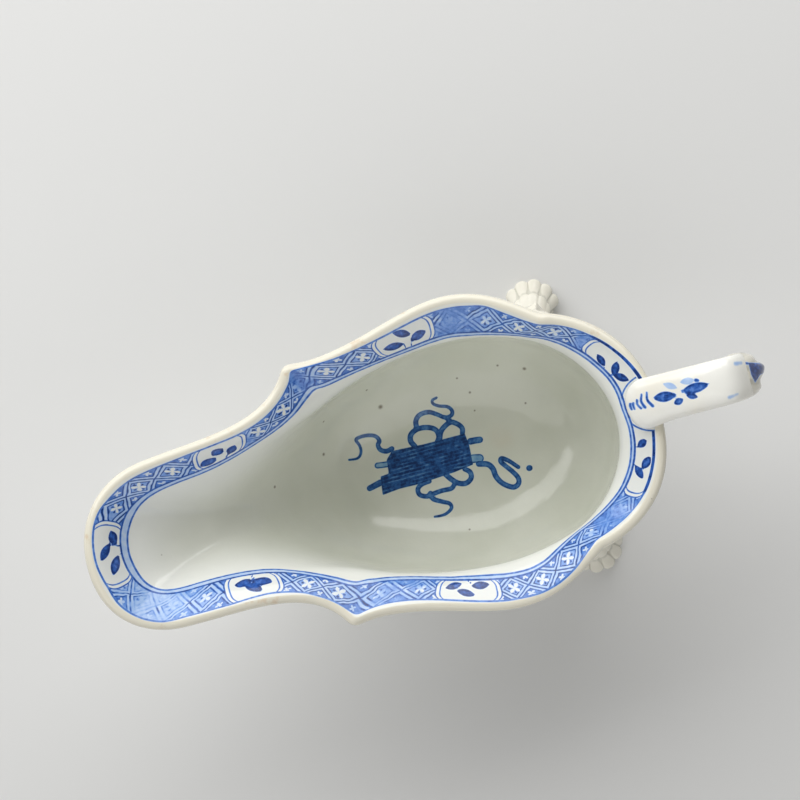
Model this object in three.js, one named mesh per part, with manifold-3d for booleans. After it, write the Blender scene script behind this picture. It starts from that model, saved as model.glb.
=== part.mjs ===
// A glazed porcelain sauceboat of silver form, in millimetres with +Z up.
// The spout points to -X and the handle to +X. The piece stands on three paw feet.
// Body: a shell lofted from a rim with points and lobes, through an egg-shaped throat,
// down to a keel line that runs level in the well and climbs into the spout.
// Handle, thumb leaf, feet and lion masks are pressed or rolled separately and luted on.

import * as THREE from 'three';
import Module from 'manifold-3d';

// Wall of the body, and the glaze-thin joint left where a piece is luted on
const WALL = 3.6;
const JOINT = 0.3;

// Rim seen from above: distances from the middle of the well
const SPOUT_REACH = 106.1;
const SHOULDER_REACH = 86;
const SHOULDER_HALF_WIDTH = 24.1;
const CUSP_REACH = 37.3;
const CUSP_HALF_WIDTH = 39;
const CROWN_REACH = 10.9;
const CROWN_HALF_WIDTH = 47.1;
const NOTCH_REACH = 41.2;
const NOTCH_HALF_WIDTH = 34.4;
const BACK_REACH = 65.8;

// Rim seen from the side: heights above the table
const TIP_HEIGHT = 86;
const SHOULDER_HEIGHT = 84;
const CUSP_HEIGHT = 78.5;
const CROWN_HEIGHT = 73;
const NOTCH_HEIGHT = 76.5;
const BACK_HEIGHT = 81;
const CUSP_RISE = 4;
const NOTCH_RISE = 2;

// Flare of the rim: how far the throat stands in from it and below it
const TIP_FLARE = 14.4;
const SHOULDER_FLARE = 11.5;
const CUSP_FLARE = 12.2;
const CROWN_FLARE = 13.1;
const NOTCH_FLARE = 5.1;
const BACK_FLARE = 12.2;
const SPOUT_FLARE_DROP = 10.5;
const BODY_FLARE_DROP = 13;

// Floor of the well, the ramp that climbs from it, and the flatter run of the spout beyond
const FLOOR_HEIGHT = 21;
const RAMP_START = 31;
const RAMP_SLOPE = 1.3;
const RAMP_BEND = 12;
const SPOUT_START = 59;
const SPOUT_SLOPE = 0.5;
const SPOUT_BEND = 14;

// The body went a little off straight in the kiln: at this span from its straightest place
// it lies this far to one side
const BOW = 2.1;
const BOW_MIDDLE = -15;
const BOW_SPAN = 75;

// Handle: a strap that springs from inside the back rim and returns to the lower body
const STRAP_WIDTH = 13.7;
const STRAP_THICKNESS = 7;
const STRAP_FOOT_WIDTH = 10.5;
const HANDLE_CREST = 93.5;
const HANDLE_OVERHANG = 23.7;
const HANDLE_ASIDE = 1.7;
const HANDLE_FOOT_HEIGHT = 38;

// Thumb leaf over the outer bend of the handle
const LEAF_THICKNESS = 2.6;
const LEAF_WRAP = 0.7;
const LEAF_LOBES = 3;

// Feet: two under the notches of the rim, one under the spout
const FRONT_FOOT_REACH = 41;
const REAR_FOOT_TURN = 68;
const HIP_HEIGHT = 31;
const HIP_WIDTH = 14.5;
const HIP_RISE = 8;
const FOOT_STANCE = 12.6;
const ANKLE_WIDTH = 10;
const PAW_WIDTH = 14.6;
const PAW_HEIGHT = 8.5;
const SOLE_INSET = 0.8;
const TOES = 5;
const TOE_RELIEF = 1.5;

// Lion masks on the hips of the feet
const MASK_WIDTH = 16;
const MASK_HEIGHT = 18;
const MASK_DEPTH = 5.5;
const MASK_OFFSET = 5.6;
const MASK_DROP = 2.5;
const MANE_CURLS = 11;
const MANE_RELIEF = 1.4;

const wasm = await Module();
wasm.setup();

const UP = new THREE.Vector3(0, 0, 1);

function vector(x, y, z) {
  return new THREE.Vector3(x, y, z);
}

function degrees(angle) {
  return THREE.MathUtils.degToRad(angle);
}

function mix(a, b, share) {
  return a + (b - a) * share;
}

function cubic(a, b, c, d, t) {
  const curve = new THREE.CubicBezierCurve3(a, b, c, d);
  return curve.getPoint(t);
}

// A smooth hump of height 1 at the middle, gone at twice its width away
function hump(distance, width) {
  return Math.exp(-((distance / width) ** 2));
}

// Joins rings of points into one closed surface. Equal points become one vertex.
function closedSurface(rings, closedFirst, closedLast) {
  const positions = [];
  const triangles = [];
  const known = new Map();
  function vertex(point) {
    const key = `${point.x.toFixed(4)},${point.y.toFixed(4)},${point.z.toFixed(4)}`;
    if (!known.has(key)) {
      known.set(key, positions.length / 3);
      positions.push(point.x, point.y, point.z);
    }
    return known.get(key);
  }
  function triangle(a, b, c) {
    const corners = [vertex(a), vertex(b), vertex(c)];
    if (new Set(corners).size === 3) triangles.push(...corners);
  }
  for (let r = 0; r + 1 < rings.length; r += 1) {
    const lower = rings[r];
    const upper = rings[r + 1];
    for (let c = 0; c < lower.length; c += 1) {
      const next = (c + 1) % lower.length;
      triangle(lower[c], lower[next], upper[next]);
      triangle(lower[c], upper[next], upper[c]);
    }
  }
  function cap(ring, flip) {
    const middle = new THREE.Vector3();
    ring.forEach((point) => middle.addScaledVector(point, 1 / ring.length));
    for (let c = 0; c < ring.length; c += 1) {
      const next = (c + 1) % ring.length;
      if (flip) triangle(middle, ring[c], ring[next]);
      else triangle(middle, ring[next], ring[c]);
    }
  }
  if (closedFirst) cap(rings[0], false);
  if (closedLast) cap(rings[rings.length - 1], true);
  return { positions, triangles };
}

function solid(surface) {
  const mesh = new wasm.Mesh({
    numProp: 3,
    vertProperties: new Float32Array(surface.positions),
    triVerts: new Uint32Array(surface.triangles),
  });
  return new wasm.Manifold(mesh);
}

function geometryOf(body) {
  const mesh = body.getMesh();
  const geometry = new THREE.BufferGeometry();
  geometry.setAttribute('position', new THREE.BufferAttribute(mesh.vertProperties, 3));
  geometry.setIndex(new THREE.BufferAttribute(mesh.triVerts, 1));
  geometry.computeVertexNormals();
  return geometry;
}

// Body

// Stations along half of the rim, from the spout tip to the back. A curve arrives at and leaves
// each of them under a heading in plan; its handle is a share of the stretch.
const rimStations = [
  { x: -SPOUT_REACH, y: 0, z: TIP_HEIGHT, leave: 90, leaveShare: 0.48, rise: 0 },
  {
    x: -SHOULDER_REACH,
    y: SHOULDER_HALF_WIDTH,
    z: SHOULDER_HEIGHT,
    arrive: 6.5,
    arriveShare: 0.34,
    leave: 6.5,
    leaveShare: 0.4,
    rise: 0,
  },
  {
    x: -CUSP_REACH,
    y: CUSP_HALF_WIDTH,
    z: CUSP_HEIGHT,
    arrive: 61,
    arriveShare: 0.36,
    leave: -14,
    leaveShare: 0.29,
    rise: CUSP_RISE,
  },
  {
    x: CROWN_REACH,
    y: CROWN_HALF_WIDTH,
    z: CROWN_HEIGHT,
    arrive: 3,
    arriveShare: 0.29,
    leave: 3,
    leaveShare: 0.41,
    rise: 0,
  },
  {
    x: NOTCH_REACH,
    y: NOTCH_HALF_WIDTH,
    z: NOTCH_HEIGHT,
    arrive: -36.5,
    arriveShare: 0.33,
    leave: -14.5,
    leaveShare: 0.33,
    rise: NOTCH_RISE,
  },
  { x: BACK_REACH, y: 0, z: BACK_HEIGHT, arrive: -90, arriveShare: 0.51, rise: 0 },
];

// The throat follows the rim at its own distance inwards, station by station
function throatStation(rim, inX, inY, drop, shape) {
  return { x: rim.x + inX, y: rim.y - inY, z: rim.z - drop, rise: 0, ...shape };
}

const [tipRim, shoulderRim, cuspRim, crownRim, notchRim, backRim] = rimStations;
const throatStations = [
  throatStation(tipRim, TIP_FLARE, 0, SPOUT_FLARE_DROP, { leave: 90, leaveShare: 0.47 }),
  throatStation(shoulderRim, SHOULDER_FLARE * 0.8, SHOULDER_FLARE, SPOUT_FLARE_DROP, {
    arrive: 6.5,
    arriveShare: 0.38,
    leave: 6.5,
    leaveShare: 0.33,
  }),
  throatStation(cuspRim, CUSP_FLARE, CUSP_FLARE, BODY_FLARE_DROP + CUSP_RISE / 2, {
    arrive: 25,
    arriveShare: 0.34,
    leave: 22,
    leaveShare: 0.31,
  }),
  throatStation(crownRim, 0, CROWN_FLARE, BODY_FLARE_DROP, {
    arrive: 0,
    arriveShare: 0.34,
    leave: 0,
    leaveShare: 0.35,
  }),
  throatStation(notchRim, -NOTCH_FLARE * 1.4, NOTCH_FLARE, BODY_FLARE_DROP + NOTCH_RISE / 2, {
    arrive: -22,
    arriveShare: 0.3,
    leave: -22,
    leaveShare: 0.3,
  }),
  throatStation(backRim, -BACK_FLARE, 0, BODY_FLARE_DROP, { arrive: -90, arriveShare: 0.39 }),
];

// Angle above level at which the wall passes the throat, and at which it reaches the lip
const THROAT_ANGLES = [31, 50, 92, 99, 97, 97];
const LIP_ANGLES = [30, 34, 36, 38, 50, 44];

// How far along the boat a frame meets the keel, as a share of its throat's place: one share
// for the spout, one for the back, and a smooth change between them over this reach
const KEEL_SHARE_FRONT = 0.85;
const KEEL_SHARE_BACK = 0.54;
const KEEL_SHARE_REACH = 25;

const STRETCHES = rimStations.length - 1;
const COLUMNS_PER_STRETCH = [6, 11, 9, 7, 9];
const HALF_COLUMNS = COLUMNS_PER_STRETCH.reduce((sum, count) => sum + count, 0);

function stationCurve(stations, stretch, t) {
  const from = stations[stretch];
  const to = stations[stretch + 1];
  const length = Math.hypot(to.x - from.x, to.y - from.y);
  const out = degrees(from.leave);
  const back = degrees(to.arrive);
  const start = vector(from.x, from.y, from.z);
  const end = vector(to.x, to.y, to.z);
  const reachOut = vector(Math.cos(out), Math.sin(out), 0).multiplyScalar(from.leaveShare * length);
  const reachBack = vector(Math.cos(back), Math.sin(back), 0).multiplyScalar(to.arriveShare * length);
  const leaving = start.clone().add(reachOut).addScaledVector(UP, -from.rise);
  const arriving = end.clone().sub(reachBack).addScaledVector(UP, -to.rise);
  return cubic(start, leaving, arriving, end, t);
}

// Rises smoothly from 0 to run, over a bend, and the slope of that rise
function softRise(run, bend) {
  return (run + Math.hypot(run, bend)) / 2;
}

function softSlope(run, bend) {
  return (1 + run / Math.hypot(run, bend)) / 2;
}

// Height of the keel line: level in the well, up the ramp, then flatter along the spout
function keelHeight(x) {
  const ramp = RAMP_SLOPE * softRise(-RAMP_START - x, RAMP_BEND);
  const easing = (RAMP_SLOPE - SPOUT_SLOPE) * softRise(-SPOUT_START - x, SPOUT_BEND);
  return FLOOR_HEIGHT + ramp - easing;
}

function keelSlope(x) {
  const ramp = RAMP_SLOPE * softSlope(-RAMP_START - x, RAMP_BEND);
  const easing = (RAMP_SLOPE - SPOUT_SLOPE) * softSlope(-SPOUT_START - x, SPOUT_BEND);
  return easing - ramp;
}

// Ease between two stations' angles
function between(values, stretch, t) {
  const eased = t * t * (3 - 2 * t);
  return mix(values[stretch], values[stretch + 1], eased);
}

function keelPlace(throatX) {
  const share = THREE.MathUtils.smoothstep(-throatX, -KEEL_SHARE_REACH, KEEL_SHARE_REACH);
  return throatX * mix(KEEL_SHARE_BACK, KEEL_SHARE_FRONT, share);
}

// One frame of the boat: the points it passes on its way from the keel to the rim
function frameAt(stretch, t) {
  const rim = stationCurve(rimStations, stretch, t);
  const throat = stationCurve(throatStations, stretch, t);
  const keelX = keelPlace(throat.x);
  const keel = vector(keelX, 0, keelHeight(keelX));
  const throatAngle = degrees(between(THROAT_ANGLES, stretch, t));
  const lipAngle = degrees(between(LIP_ANGLES, stretch, t));
  const across = rim.clone().sub(throat).setZ(0).normalize();
  const lipInset = (WALL * (1 + Math.sin(lipAngle))) / 2;
  const lip = rim.clone().addScaledVector(across, -lipInset);
  return { rim, lip, throat, keel, throatAngle, lipAngle, across };
}

// How steep a frame is at the throat: 0 at the spout tip, 1 where the wall stands upright
function steepness(frame) {
  return 1 - Math.max(0, Math.cos(frame.throatAngle)) / Math.cos(degrees(THROAT_ANGLES[0]));
}

// Directions in the upright plane of a frame
function along(frame, outward, angle) {
  return outward.clone().multiplyScalar(Math.cos(angle)).addScaledVector(UP, Math.sin(angle));
}

// Lower part of a frame, from the keel up to the throat
function bowlPoint(frame, t) {
  const outward = frame.throat.clone().sub(frame.keel).setZ(0);
  const span = frame.throat.distanceTo(frame.keel);
  const steep = steepness(frame);
  const level = frame.keel.clone().addScaledVector(outward, mix(0.36, 0.86, steep));
  level.z = keelHeight(level.x);
  const heading = along(frame, outward.clone().normalize(), frame.throatAngle);
  const wall = frame.throat.clone().addScaledVector(heading, -mix(0.34, 0.58, steep) * span);
  return cubic(frame.keel, level, wall, frame.throat, t);
}

// Upper part of a frame, from the throat out to the lip
function flarePoint(frame, t) {
  const outward = frame.throat.clone().sub(frame.keel).setZ(0).normalize();
  const span = frame.lip.distanceTo(frame.throat);
  const low = frame.throat.clone();
  low.addScaledVector(along(frame, outward, frame.throatAngle), 0.42 * span);
  const high = frame.lip.clone();
  high.addScaledVector(along(frame, frame.across, frame.lipAngle), -0.4 * span);
  return cubic(frame.throat, low, high, frame.lip, t);
}

function bowed(point) {
  const shift = BOW * ((point.x - BOW_MIDDLE) / BOW_SPAN) ** 2;
  return vector(point.x, point.y - shift, point.z);
}

const BOWL_ROWS = 9;
const FLARE_ROWS = 5;
const LIP_ROWS = 4;

// Frames all round: out along one side from spout to back, and home along the other
function framesRound() {
  const half = [];
  for (let stretch = 0; stretch < STRETCHES; stretch += 1) {
    const count = COLUMNS_PER_STRETCH[stretch];
    for (let step = 0; step < count; step += 1) {
      half.push(frameAt(stretch, step / count));
    }
  }
  half.push(frameAt(STRETCHES - 1, 1));
  const rows = half.map((frame) => {
    const points = [];
    for (let r = 0; r < BOWL_ROWS; r += 1) points.push(bowlPoint(frame, r / BOWL_ROWS));
    for (let r = 0; r <= FLARE_ROWS; r += 1) points.push(flarePoint(frame, r / FLARE_ROWS));
    return points;
  });
  const mirrored = rows.slice(1, HALF_COLUMNS).reverse();
  const others = mirrored.map((points) => points.map((point) => vector(point.x, -point.y, point.z)));
  return [...rows, ...others].map((points) => points.map(bowed));
}

// Unit vectors that point out of the cavity, square to the inner surface
function outwardNormals(columns) {
  const count = columns.length;
  return columns.map((points, c) => {
    const before = columns[(c + count - 1) % count];
    const after = columns[(c + 1) % count];
    return points.map((point, r) => {
      if (r === 0) {
        const slope = keelSlope(point.x);
        return vector(slope, 0, -1).normalize();
      }
      const alongRing = after[r].clone().sub(before[r]);
      const upward = points[Math.min(r + 1, points.length - 1)].clone().sub(points[r - 1]);
      return upward.cross(alongRing).normalize();
    });
  });
}

const innerColumns = framesRound();
const normals = outwardNormals(innerColumns);

// The inner surface moved out of the cavity by a distance
function offsetPoint(c, r, distance) {
  return innerColumns[c][r].clone().addScaledVector(normals[c][r], distance);
}

function ringAt(r, distance) {
  return innerColumns.map((_, c) => offsetPoint(c, r, distance));
}

// A round lip joins the inner and the outer surface; grow thickens the wall on both sides
function lipRing(step, grow) {
  const last = BOWL_ROWS + FLARE_ROWS;
  const turn = (Math.PI * step) / LIP_ROWS;
  const radius = WALL / 2 + grow;
  return innerColumns.map((points, c) => {
    const end = points[last];
    const heading = end.clone().sub(points[last - 1]);
    const normal = normals[c][last];
    heading.addScaledVector(normal, -heading.dot(normal)).normalize();
    const middle = end.clone().addScaledVector(normal, WALL / 2);
    middle.addScaledVector(normal, -radius * Math.cos(turn));
    return middle.addScaledVector(heading, radius * Math.sin(turn));
  });
}

// The shell of the body; grow is the joint that other pieces keep to it
function shell(grow) {
  const last = BOWL_ROWS + FLARE_ROWS;
  const rings = [];
  for (let r = 0; r < last; r += 1) rings.push(ringAt(r, -grow));
  for (let step = 0; step <= LIP_ROWS; step += 1) rings.push(lipRing(step, grow));
  for (let r = last - 1; r >= 0; r -= 1) rings.push(ringAt(r, WALL + grow));
  return closedSurface(rings, false, false);
}

// The body as if filled to the brim, which cuts whatever is luted to its outside
function filledBody(grow) {
  const last = BOWL_ROWS + FLARE_ROWS;
  const rings = [];
  for (let r = 0; r <= last; r += 1) rings.push(ringAt(r, WALL + grow));
  rings.reverse();
  const lid = innerColumns.map((points) => vector(points[0].x, points[0].y, TIP_HEIGHT + WALL));
  rings.unshift(lid);
  return closedSurface(rings, false, false);
}

const bodySolid = solid(shell(0));
const bodyShellWithJoint = solid(shell(JOINT));
const filledWithJoint = solid(filledBody(JOINT));

// Runs a profile over a set of stations, each { at, ...sizes }, with a smooth curve between them
function sizesAt(levels, at) {
  let i = 0;
  while (i + 2 < levels.length && at > levels[i + 1].at) i += 1;
  const low = levels[i];
  const high = levels[i + 1];
  const share = (at - low.at) / (high.at - low.at);
  const eased = share * share * (3 - 2 * share);
  const sizes = {};
  Object.keys(low).forEach((key) => {
    sizes[key] = mix(low[key], high[key], eased);
  });
  return sizes;
}

// Handle

const HANDLE_STEPS = 46;
const STRAP_SIDES = 18;
const STRAP_SQUARENESS = 2.5;
const ROOT_ROUNDING = 0.055;
const backColumn = HALF_COLUMNS;

// Where the outside of one column of the body stands at a height, and the way it faces there
function outsideAt(column, height) {
  let r = 1;
  while (r < BOWL_ROWS && offsetPoint(column, r + 1, WALL).z < height) r += 1;
  const low = offsetPoint(column, r, WALL);
  const high = offsetPoint(column, r + 1, WALL);
  const share = (height - low.z) / (high.z - low.z);
  const facing = normals[column][r].clone().lerp(normals[column][r + 1], share).normalize();
  return { point: low.lerp(high, share), facing };
}

// Middle line of the handle, in an upright plane. The handle was luted on a little to one side.
function handleSpine() {
  const flareRow = BOWL_ROWS + Math.round(FLARE_ROWS / 2);
  const root = offsetPoint(backColumn, flareRow, -STRAP_THICKNESS * 0.14);
  const lipTop = lipRing(LIP_ROWS / 2, 0)[backColumn];
  const foot = outsideAt(backColumn, HANDLE_FOOT_HEIGHT);
  const footEnd = foot.point.clone().addScaledVector(foot.facing, -WALL * 0.5);
  const footAhead = foot.point.clone().addScaledVector(foot.facing, STRAP_FOOT_WIDTH * 0.6);
  const drop = HANDLE_CREST - HANDLE_FOOT_HEIGHT;
  const points = [
    vector(root.x, HANDLE_ASIDE, root.z),
    vector(lipTop.x, HANDLE_ASIDE, lipTop.z + STRAP_THICKNESS * 0.36),
    vector(lipTop.x + HANDLE_OVERHANG * 0.5, HANDLE_ASIDE, HANDLE_CREST - STRAP_THICKNESS * 0.34),
    vector(lipTop.x + HANDLE_OVERHANG * 0.86, HANDLE_ASIDE, HANDLE_CREST),
    vector(lipTop.x + HANDLE_OVERHANG * 1.05, HANDLE_ASIDE, HANDLE_CREST - STRAP_THICKNESS),
    vector(lipTop.x + HANDLE_OVERHANG, HANDLE_ASIDE, HANDLE_CREST - drop * 0.36),
    vector(lipTop.x + HANDLE_OVERHANG * 0.55, HANDLE_ASIDE, HANDLE_CREST - drop * 0.7),
    vector(footAhead.x, HANDLE_ASIDE, footAhead.z),
    vector(footEnd.x, HANDLE_ASIDE, footEnd.z),
  ];
  return new THREE.CatmullRomCurve3(points, false, 'centripetal');
}

const spine = handleSpine();

// Across the spine: outwards from the loop, and to the side
function spineFrame(t) {
  const middle = spine.getPointAt(t);
  const ahead = spine.getTangentAt(t);
  const out = vector(-ahead.z, 0, ahead.x);
  return { middle, ahead, out };
}

// Rounded-rectangle section, with the angle measured from the side towards the outside
function strapPoint(frame, angle, halfWidth, halfThickness) {
  const power = 2 / STRAP_SQUARENESS;
  const side = Math.cos(angle);
  const out = Math.sin(angle);
  const y = Math.sign(side) * Math.abs(side) ** power * halfWidth;
  const lift = Math.sign(out) * Math.abs(out) ** power * halfThickness;
  return frame.middle.clone().addScaledVector(frame.out, lift).add(vector(0, y, 0));
}

// The strap narrows to its foot, where it spreads a little on the wall
function strapSizes(t) {
  const taper = mix(STRAP_WIDTH, STRAP_FOOT_WIDTH, t * t);
  const flare = 1 + 0.3 * hump(1 - t, 0.06);
  const halfWidth = (taper / 2) * flare;
  const halfThickness = (mix(STRAP_THICKNESS, STRAP_THICKNESS * 0.8, t) / 2) * flare;
  return { halfWidth, halfThickness };
}

// The strap with its rounded root; grow is the joint kept to it
function strapRings(grow) {
  const rings = [];
  for (let step = 0; step <= HANDLE_STEPS; step += 1) {
    const t = step / HANDLE_STEPS;
    const rounding = Math.sqrt(1 - Math.max(0, 1 - (t + 0.008) / ROOT_ROUNDING) ** 2);
    const { halfWidth, halfThickness } = strapSizes(t);
    const frame = spineFrame(t);
    const ring = [];
    for (let k = 0; k < STRAP_SIDES; k += 1) {
      const angle = (2 * Math.PI * k) / STRAP_SIDES;
      const across = halfWidth * rounding + grow;
      const through = (halfThickness + grow) * Math.sqrt(rounding);
      ring.push(strapPoint(frame, angle, across, through));
    }
    rings.push(ring);
  }
  return rings;
}

function strap(grow) {
  return solid(closedSurface(strapRings(grow), true, true));
}

const strapWithJoint = strap(JOINT);

// The thumb leaf hugs the outer bend of the strap. Its lobes run along it and end in a round.
const LEAF_START = 0.335;
const LEAF_END = 0.52;
const LEAF_STEPS = 14;
const LEAF_SIDES = 24;

function leafRings() {
  const rings = [];
  for (let step = 0; step <= LEAF_STEPS; step += 1) {
    const share = step / LEAF_STEPS;
    const t = mix(LEAF_START, LEAF_END, share);
    const frame = spineFrame(t);
    const { halfWidth, halfThickness } = strapSizes(t);
    const fullness = Math.sqrt(1 - Math.abs(2 * share - 1) ** 4);
    const across = (halfWidth + JOINT + LEAF_WRAP) * mix(0.62, 1, fullness);
    const base = halfThickness + JOINT;
    const ring = [];
    for (let k = 0; k < LEAF_SIDES; k += 1) {
      const angle = (2 * Math.PI * k) / LEAF_SIDES;
      const lobes = 0.5 - 0.5 * Math.cos(LEAF_LOBES * (Math.PI * (Math.cos(angle) + 1)));
      const crest = LEAF_THICKNESS * mix(0.35, 1, fullness) * mix(0.7, 1, lobes);
      const lift = Math.sin(angle) > 0 ? base + crest : halfThickness * 0.2;
      ring.push(strapPoint(frame, angle, across, lift));
    }
    rings.push(ring);
  }
  return rings;
}

function thumbLeaf() {
  return solid(closedSurface(leafRings(), true, true)).subtract(strapWithJoint);
}

function handle() {
  return strap(0).subtract(bodyShellWithJoint);
}

// Feet

const FOOT_SLICES = 16;
const FOOT_SIDES = 34;
const TOE_SPREAD = 33;
const rearFootColumn = HALF_COLUMNS - COLUMNS_PER_STRETCH[STRETCHES - 1] + 1;

// Where the feet spring from, and the way they face in plan
function footPlaces() {
  const left = outsideAt(rearFootColumn, HIP_HEIGHT).point;
  const right = outsideAt(2 * HALF_COLUMNS - rearFootColumn, HIP_HEIGHT).point;
  return {
    front: { root: vector(-FRONT_FOOT_REACH, 0, 0), turn: 180, top: keelHeight(-FRONT_FOOT_REACH) },
    left: { root: left.setZ(0), turn: REAR_FOOT_TURN, top: HIP_HEIGHT + HIP_RISE },
    right: { root: right.setZ(0), turn: -REAR_FOOT_TURN, top: HIP_HEIGHT + HIP_RISE },
  };
}

// Level slices of a leg from the sole to the top of the hip
function legLevels(top) {
  const paw = PAW_WIDTH / 2;
  const ankle = ANKLE_WIDTH / 2;
  const hip = HIP_WIDTH / 2;
  const sole = paw - SOLE_INSET;
  return [
    { at: 0, out: FOOT_STANCE, depth: sole, width: sole, toe: 0.7 },
    { at: PAW_HEIGHT * 0.35, out: FOOT_STANCE, depth: paw, width: paw, toe: 1 },
    { at: PAW_HEIGHT, out: FOOT_STANCE * 0.84, depth: paw * 0.78, width: paw * 0.78, toe: 0.3 },
    { at: PAW_HEIGHT * 1.5, out: FOOT_STANCE * 0.42, depth: ankle, width: ankle, toe: 0 },
    { at: PAW_HEIGHT * 2.3, out: FOOT_STANCE * 0.2, depth: ankle * 1.05, width: ankle, toe: 0 },
    { at: HIP_HEIGHT * 0.8, out: hip * 0.08, depth: hip, width: hip * 0.95, toe: 0 },
    { at: HIP_HEIGHT, out: 0, depth: hip, width: hip, toe: 0 },
    { at: top, out: -hip * 0.14, depth: hip * 0.55, width: hip * 0.6, toe: 0 },
  ];
}

// The toes swell out of the front half of the paw
function toeSwell(angle) {
  let swell = 0;
  for (let toe = 0; toe < TOES; toe += 1) {
    const at = degrees(TOE_SPREAD * (toe - (TOES - 1) / 2));
    swell += hump(angle - at, degrees(TOE_SPREAD * 0.38));
  }
  return swell;
}

function legRings(place, grow) {
  const levels = legLevels(place.top);
  const turn = degrees(place.turn);
  const rings = [];
  for (let slice = 0; slice <= FOOT_SLICES; slice += 1) {
    const share = slice / FOOT_SLICES;
    const height = place.top * mix(share, share * share, 0.35);
    const sizes = sizesAt(levels, height);
    const ring = [];
    for (let k = 0; k < FOOT_SIDES; k += 1) {
      const angle = (2 * Math.PI * k) / FOOT_SIDES;
      const facing = Math.atan2(Math.sin(angle), Math.cos(angle));
      const toe = TOE_RELIEF * sizes.toe * toeSwell(facing);
      const out = sizes.out + (sizes.depth + toe + grow) * Math.cos(angle);
      const side = (sizes.width + toe + grow) * Math.sin(angle);
      ring.push(vector(
        place.root.x + out * Math.cos(turn) - side * Math.sin(turn),
        place.root.y + out * Math.sin(turn) + side * Math.cos(turn),
        height,
      ));
    }
    rings.push(ring);
  }
  return rings;
}

function legSolid(place, grow) {
  return solid(closedSurface(legRings(place, grow), true, true));
}

function foot(place) {
  return legSolid(place, 0).subtract(filledWithJoint);
}

// Lion masks

const MASK_FRONT_RINGS = 12;
const MASK_BACK_RINGS = 4;
const MASK_SIDES = 30;
const MASK_TILT = 8;

// A soft lump of the relief, centred at a side and a height and spread over two widths
function lump(side, height, atSide, atHeight, wide, tall) {
  return hump(Math.hypot((side - atSide) / wide, (height - atHeight) / tall), 1);
}

// Relief of the face as a share of the mask's depth, by place on it: side and height from -1 to 1
function faceRelief(side, height) {
  const away = Math.abs(side);
  const muzzle = 0.34 * lump(away, height, 0, -0.36, 0.42, 0.3);
  const jowl = 0.1 * lump(away, height, 0.2, -0.44, 0.16, 0.18);
  const bridge = 0.2 * lump(away, height, 0, 0.02, 0.14, 0.36);
  const nose = 0.16 * lump(away, height, 0, -0.2, 0.17, 0.1);
  const brow = 0.22 * lump(away, height - 0.3 * away, 0.3, 0.22, 0.24, 0.12);
  const socket = 0.26 * lump(away, height, 0.3, 0.09, 0.17, 0.11);
  const eye = 0.1 * lump(away, height, 0.3, 0.1, 0.08, 0.07);
  const forehead = 0.14 * lump(away, height, 0.16, 0.6, 0.2, 0.2);
  const cheek = 0.12 * lump(away, height, 0.52, -0.14, 0.15, 0.2);
  const mouth = 0.28 * lump(away, height, 0, -0.62, 0.3, 0.07);
  return muzzle + jowl + bridge + nose + brow + eye + forehead + cheek - socket - mouth;
}

// Locks of the mane stand in a ring near the edge of the mask, from 0 between them to 1 on them
function maneLock(angle, radius) {
  const lock = 0.5 + 0.5 * Math.cos(MANE_CURLS * angle);
  return lock * hump(radius - 0.88, 0.17);
}

function maskRings(place) {
  const turn = degrees(place.turn);
  const tilt = degrees(MASK_TILT);
  const outward = vector(Math.cos(turn) * Math.cos(tilt), Math.sin(turn) * Math.cos(tilt), Math.sin(tilt));
  const aside = vector(-Math.sin(turn), Math.cos(turn), 0);
  const upright = outward.clone().cross(aside);
  const flat = vector(Math.cos(turn), Math.sin(turn), 0);
  const middle = place.root.clone().addScaledVector(flat, MASK_OFFSET).setZ(HIP_HEIGHT - MASK_DROP);
  const rings = [];
  for (let ring = 1; ring < MASK_FRONT_RINGS + MASK_BACK_RINGS; ring += 1) {
    const front = ring < MASK_FRONT_RINGS;
    const quarters = front ? ring / MASK_FRONT_RINGS : 1 + (ring - MASK_FRONT_RINGS) / MASK_BACK_RINGS;
    const polar = (Math.PI / 2) * quarters;
    const radius = Math.sin(polar);
    const points = [];
    for (let k = 0; k < MASK_SIDES; k += 1) {
      const angle = (2 * Math.PI * k) / MASK_SIDES;
      const side = radius * Math.sin(angle);
      const height = radius * Math.cos(angle);
      const lock = maneLock(angle, front ? radius : 2 - radius);
      const face = front ? faceRelief(side, height) * MASK_DEPTH : 0;
      const out = (MASK_DEPTH * 0.8 + MANE_RELIEF * lock) * Math.cos(polar) + face;
      const spread = 1 + (MANE_RELIEF * lock) / MASK_WIDTH;
      points.push(middle.clone()
        .addScaledVector(outward, out)
        .addScaledVector(aside, (side * spread * MASK_WIDTH) / 2)
        .addScaledVector(upright, (height * spread * MASK_HEIGHT) / 2));
    }
    rings.push(points);
  }
  return rings;
}

function mask(place) {
  const head = solid(closedSurface(maskRings(place), true, true));
  return head.subtract(legSolid(place, JOINT)).subtract(filledWithJoint);
}

// Assembly

const glaze = { color: 0xe9ebe4, roughness: 0.14, metalness: 0 };
const creamGlaze = { color: 0xebe7dc, roughness: 0.2, metalness: 0 };

function piece(name, body, finish) {
  const mesh = new THREE.Mesh(geometryOf(body), new THREE.MeshStandardMaterial(finish));
  mesh.name = name;
  return mesh;
}

const sauceboat = new THREE.Group();
sauceboat.add(piece('body', bodySolid, glaze));
sauceboat.add(piece('handle', handle(), glaze));
sauceboat.add(piece('thumb_leaf', thumbLeaf(), creamGlaze));
Object.entries(footPlaces()).forEach(([name, place]) => {
  sauceboat.add(piece(`${name}_paw_foot`, foot(place), creamGlaze));
  sauceboat.add(piece(`${name}_lion_mask`, mask(place), creamGlaze));
});

// The origin lies on the table under the middle of the piece
const extent = new THREE.Box3().setFromObject(sauceboat);
const centre = extent.getCenter(new THREE.Vector3());
sauceboat.position.set(-centre.x, -centre.y, -extent.min.z);

export default sauceboat;
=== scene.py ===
import math

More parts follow.
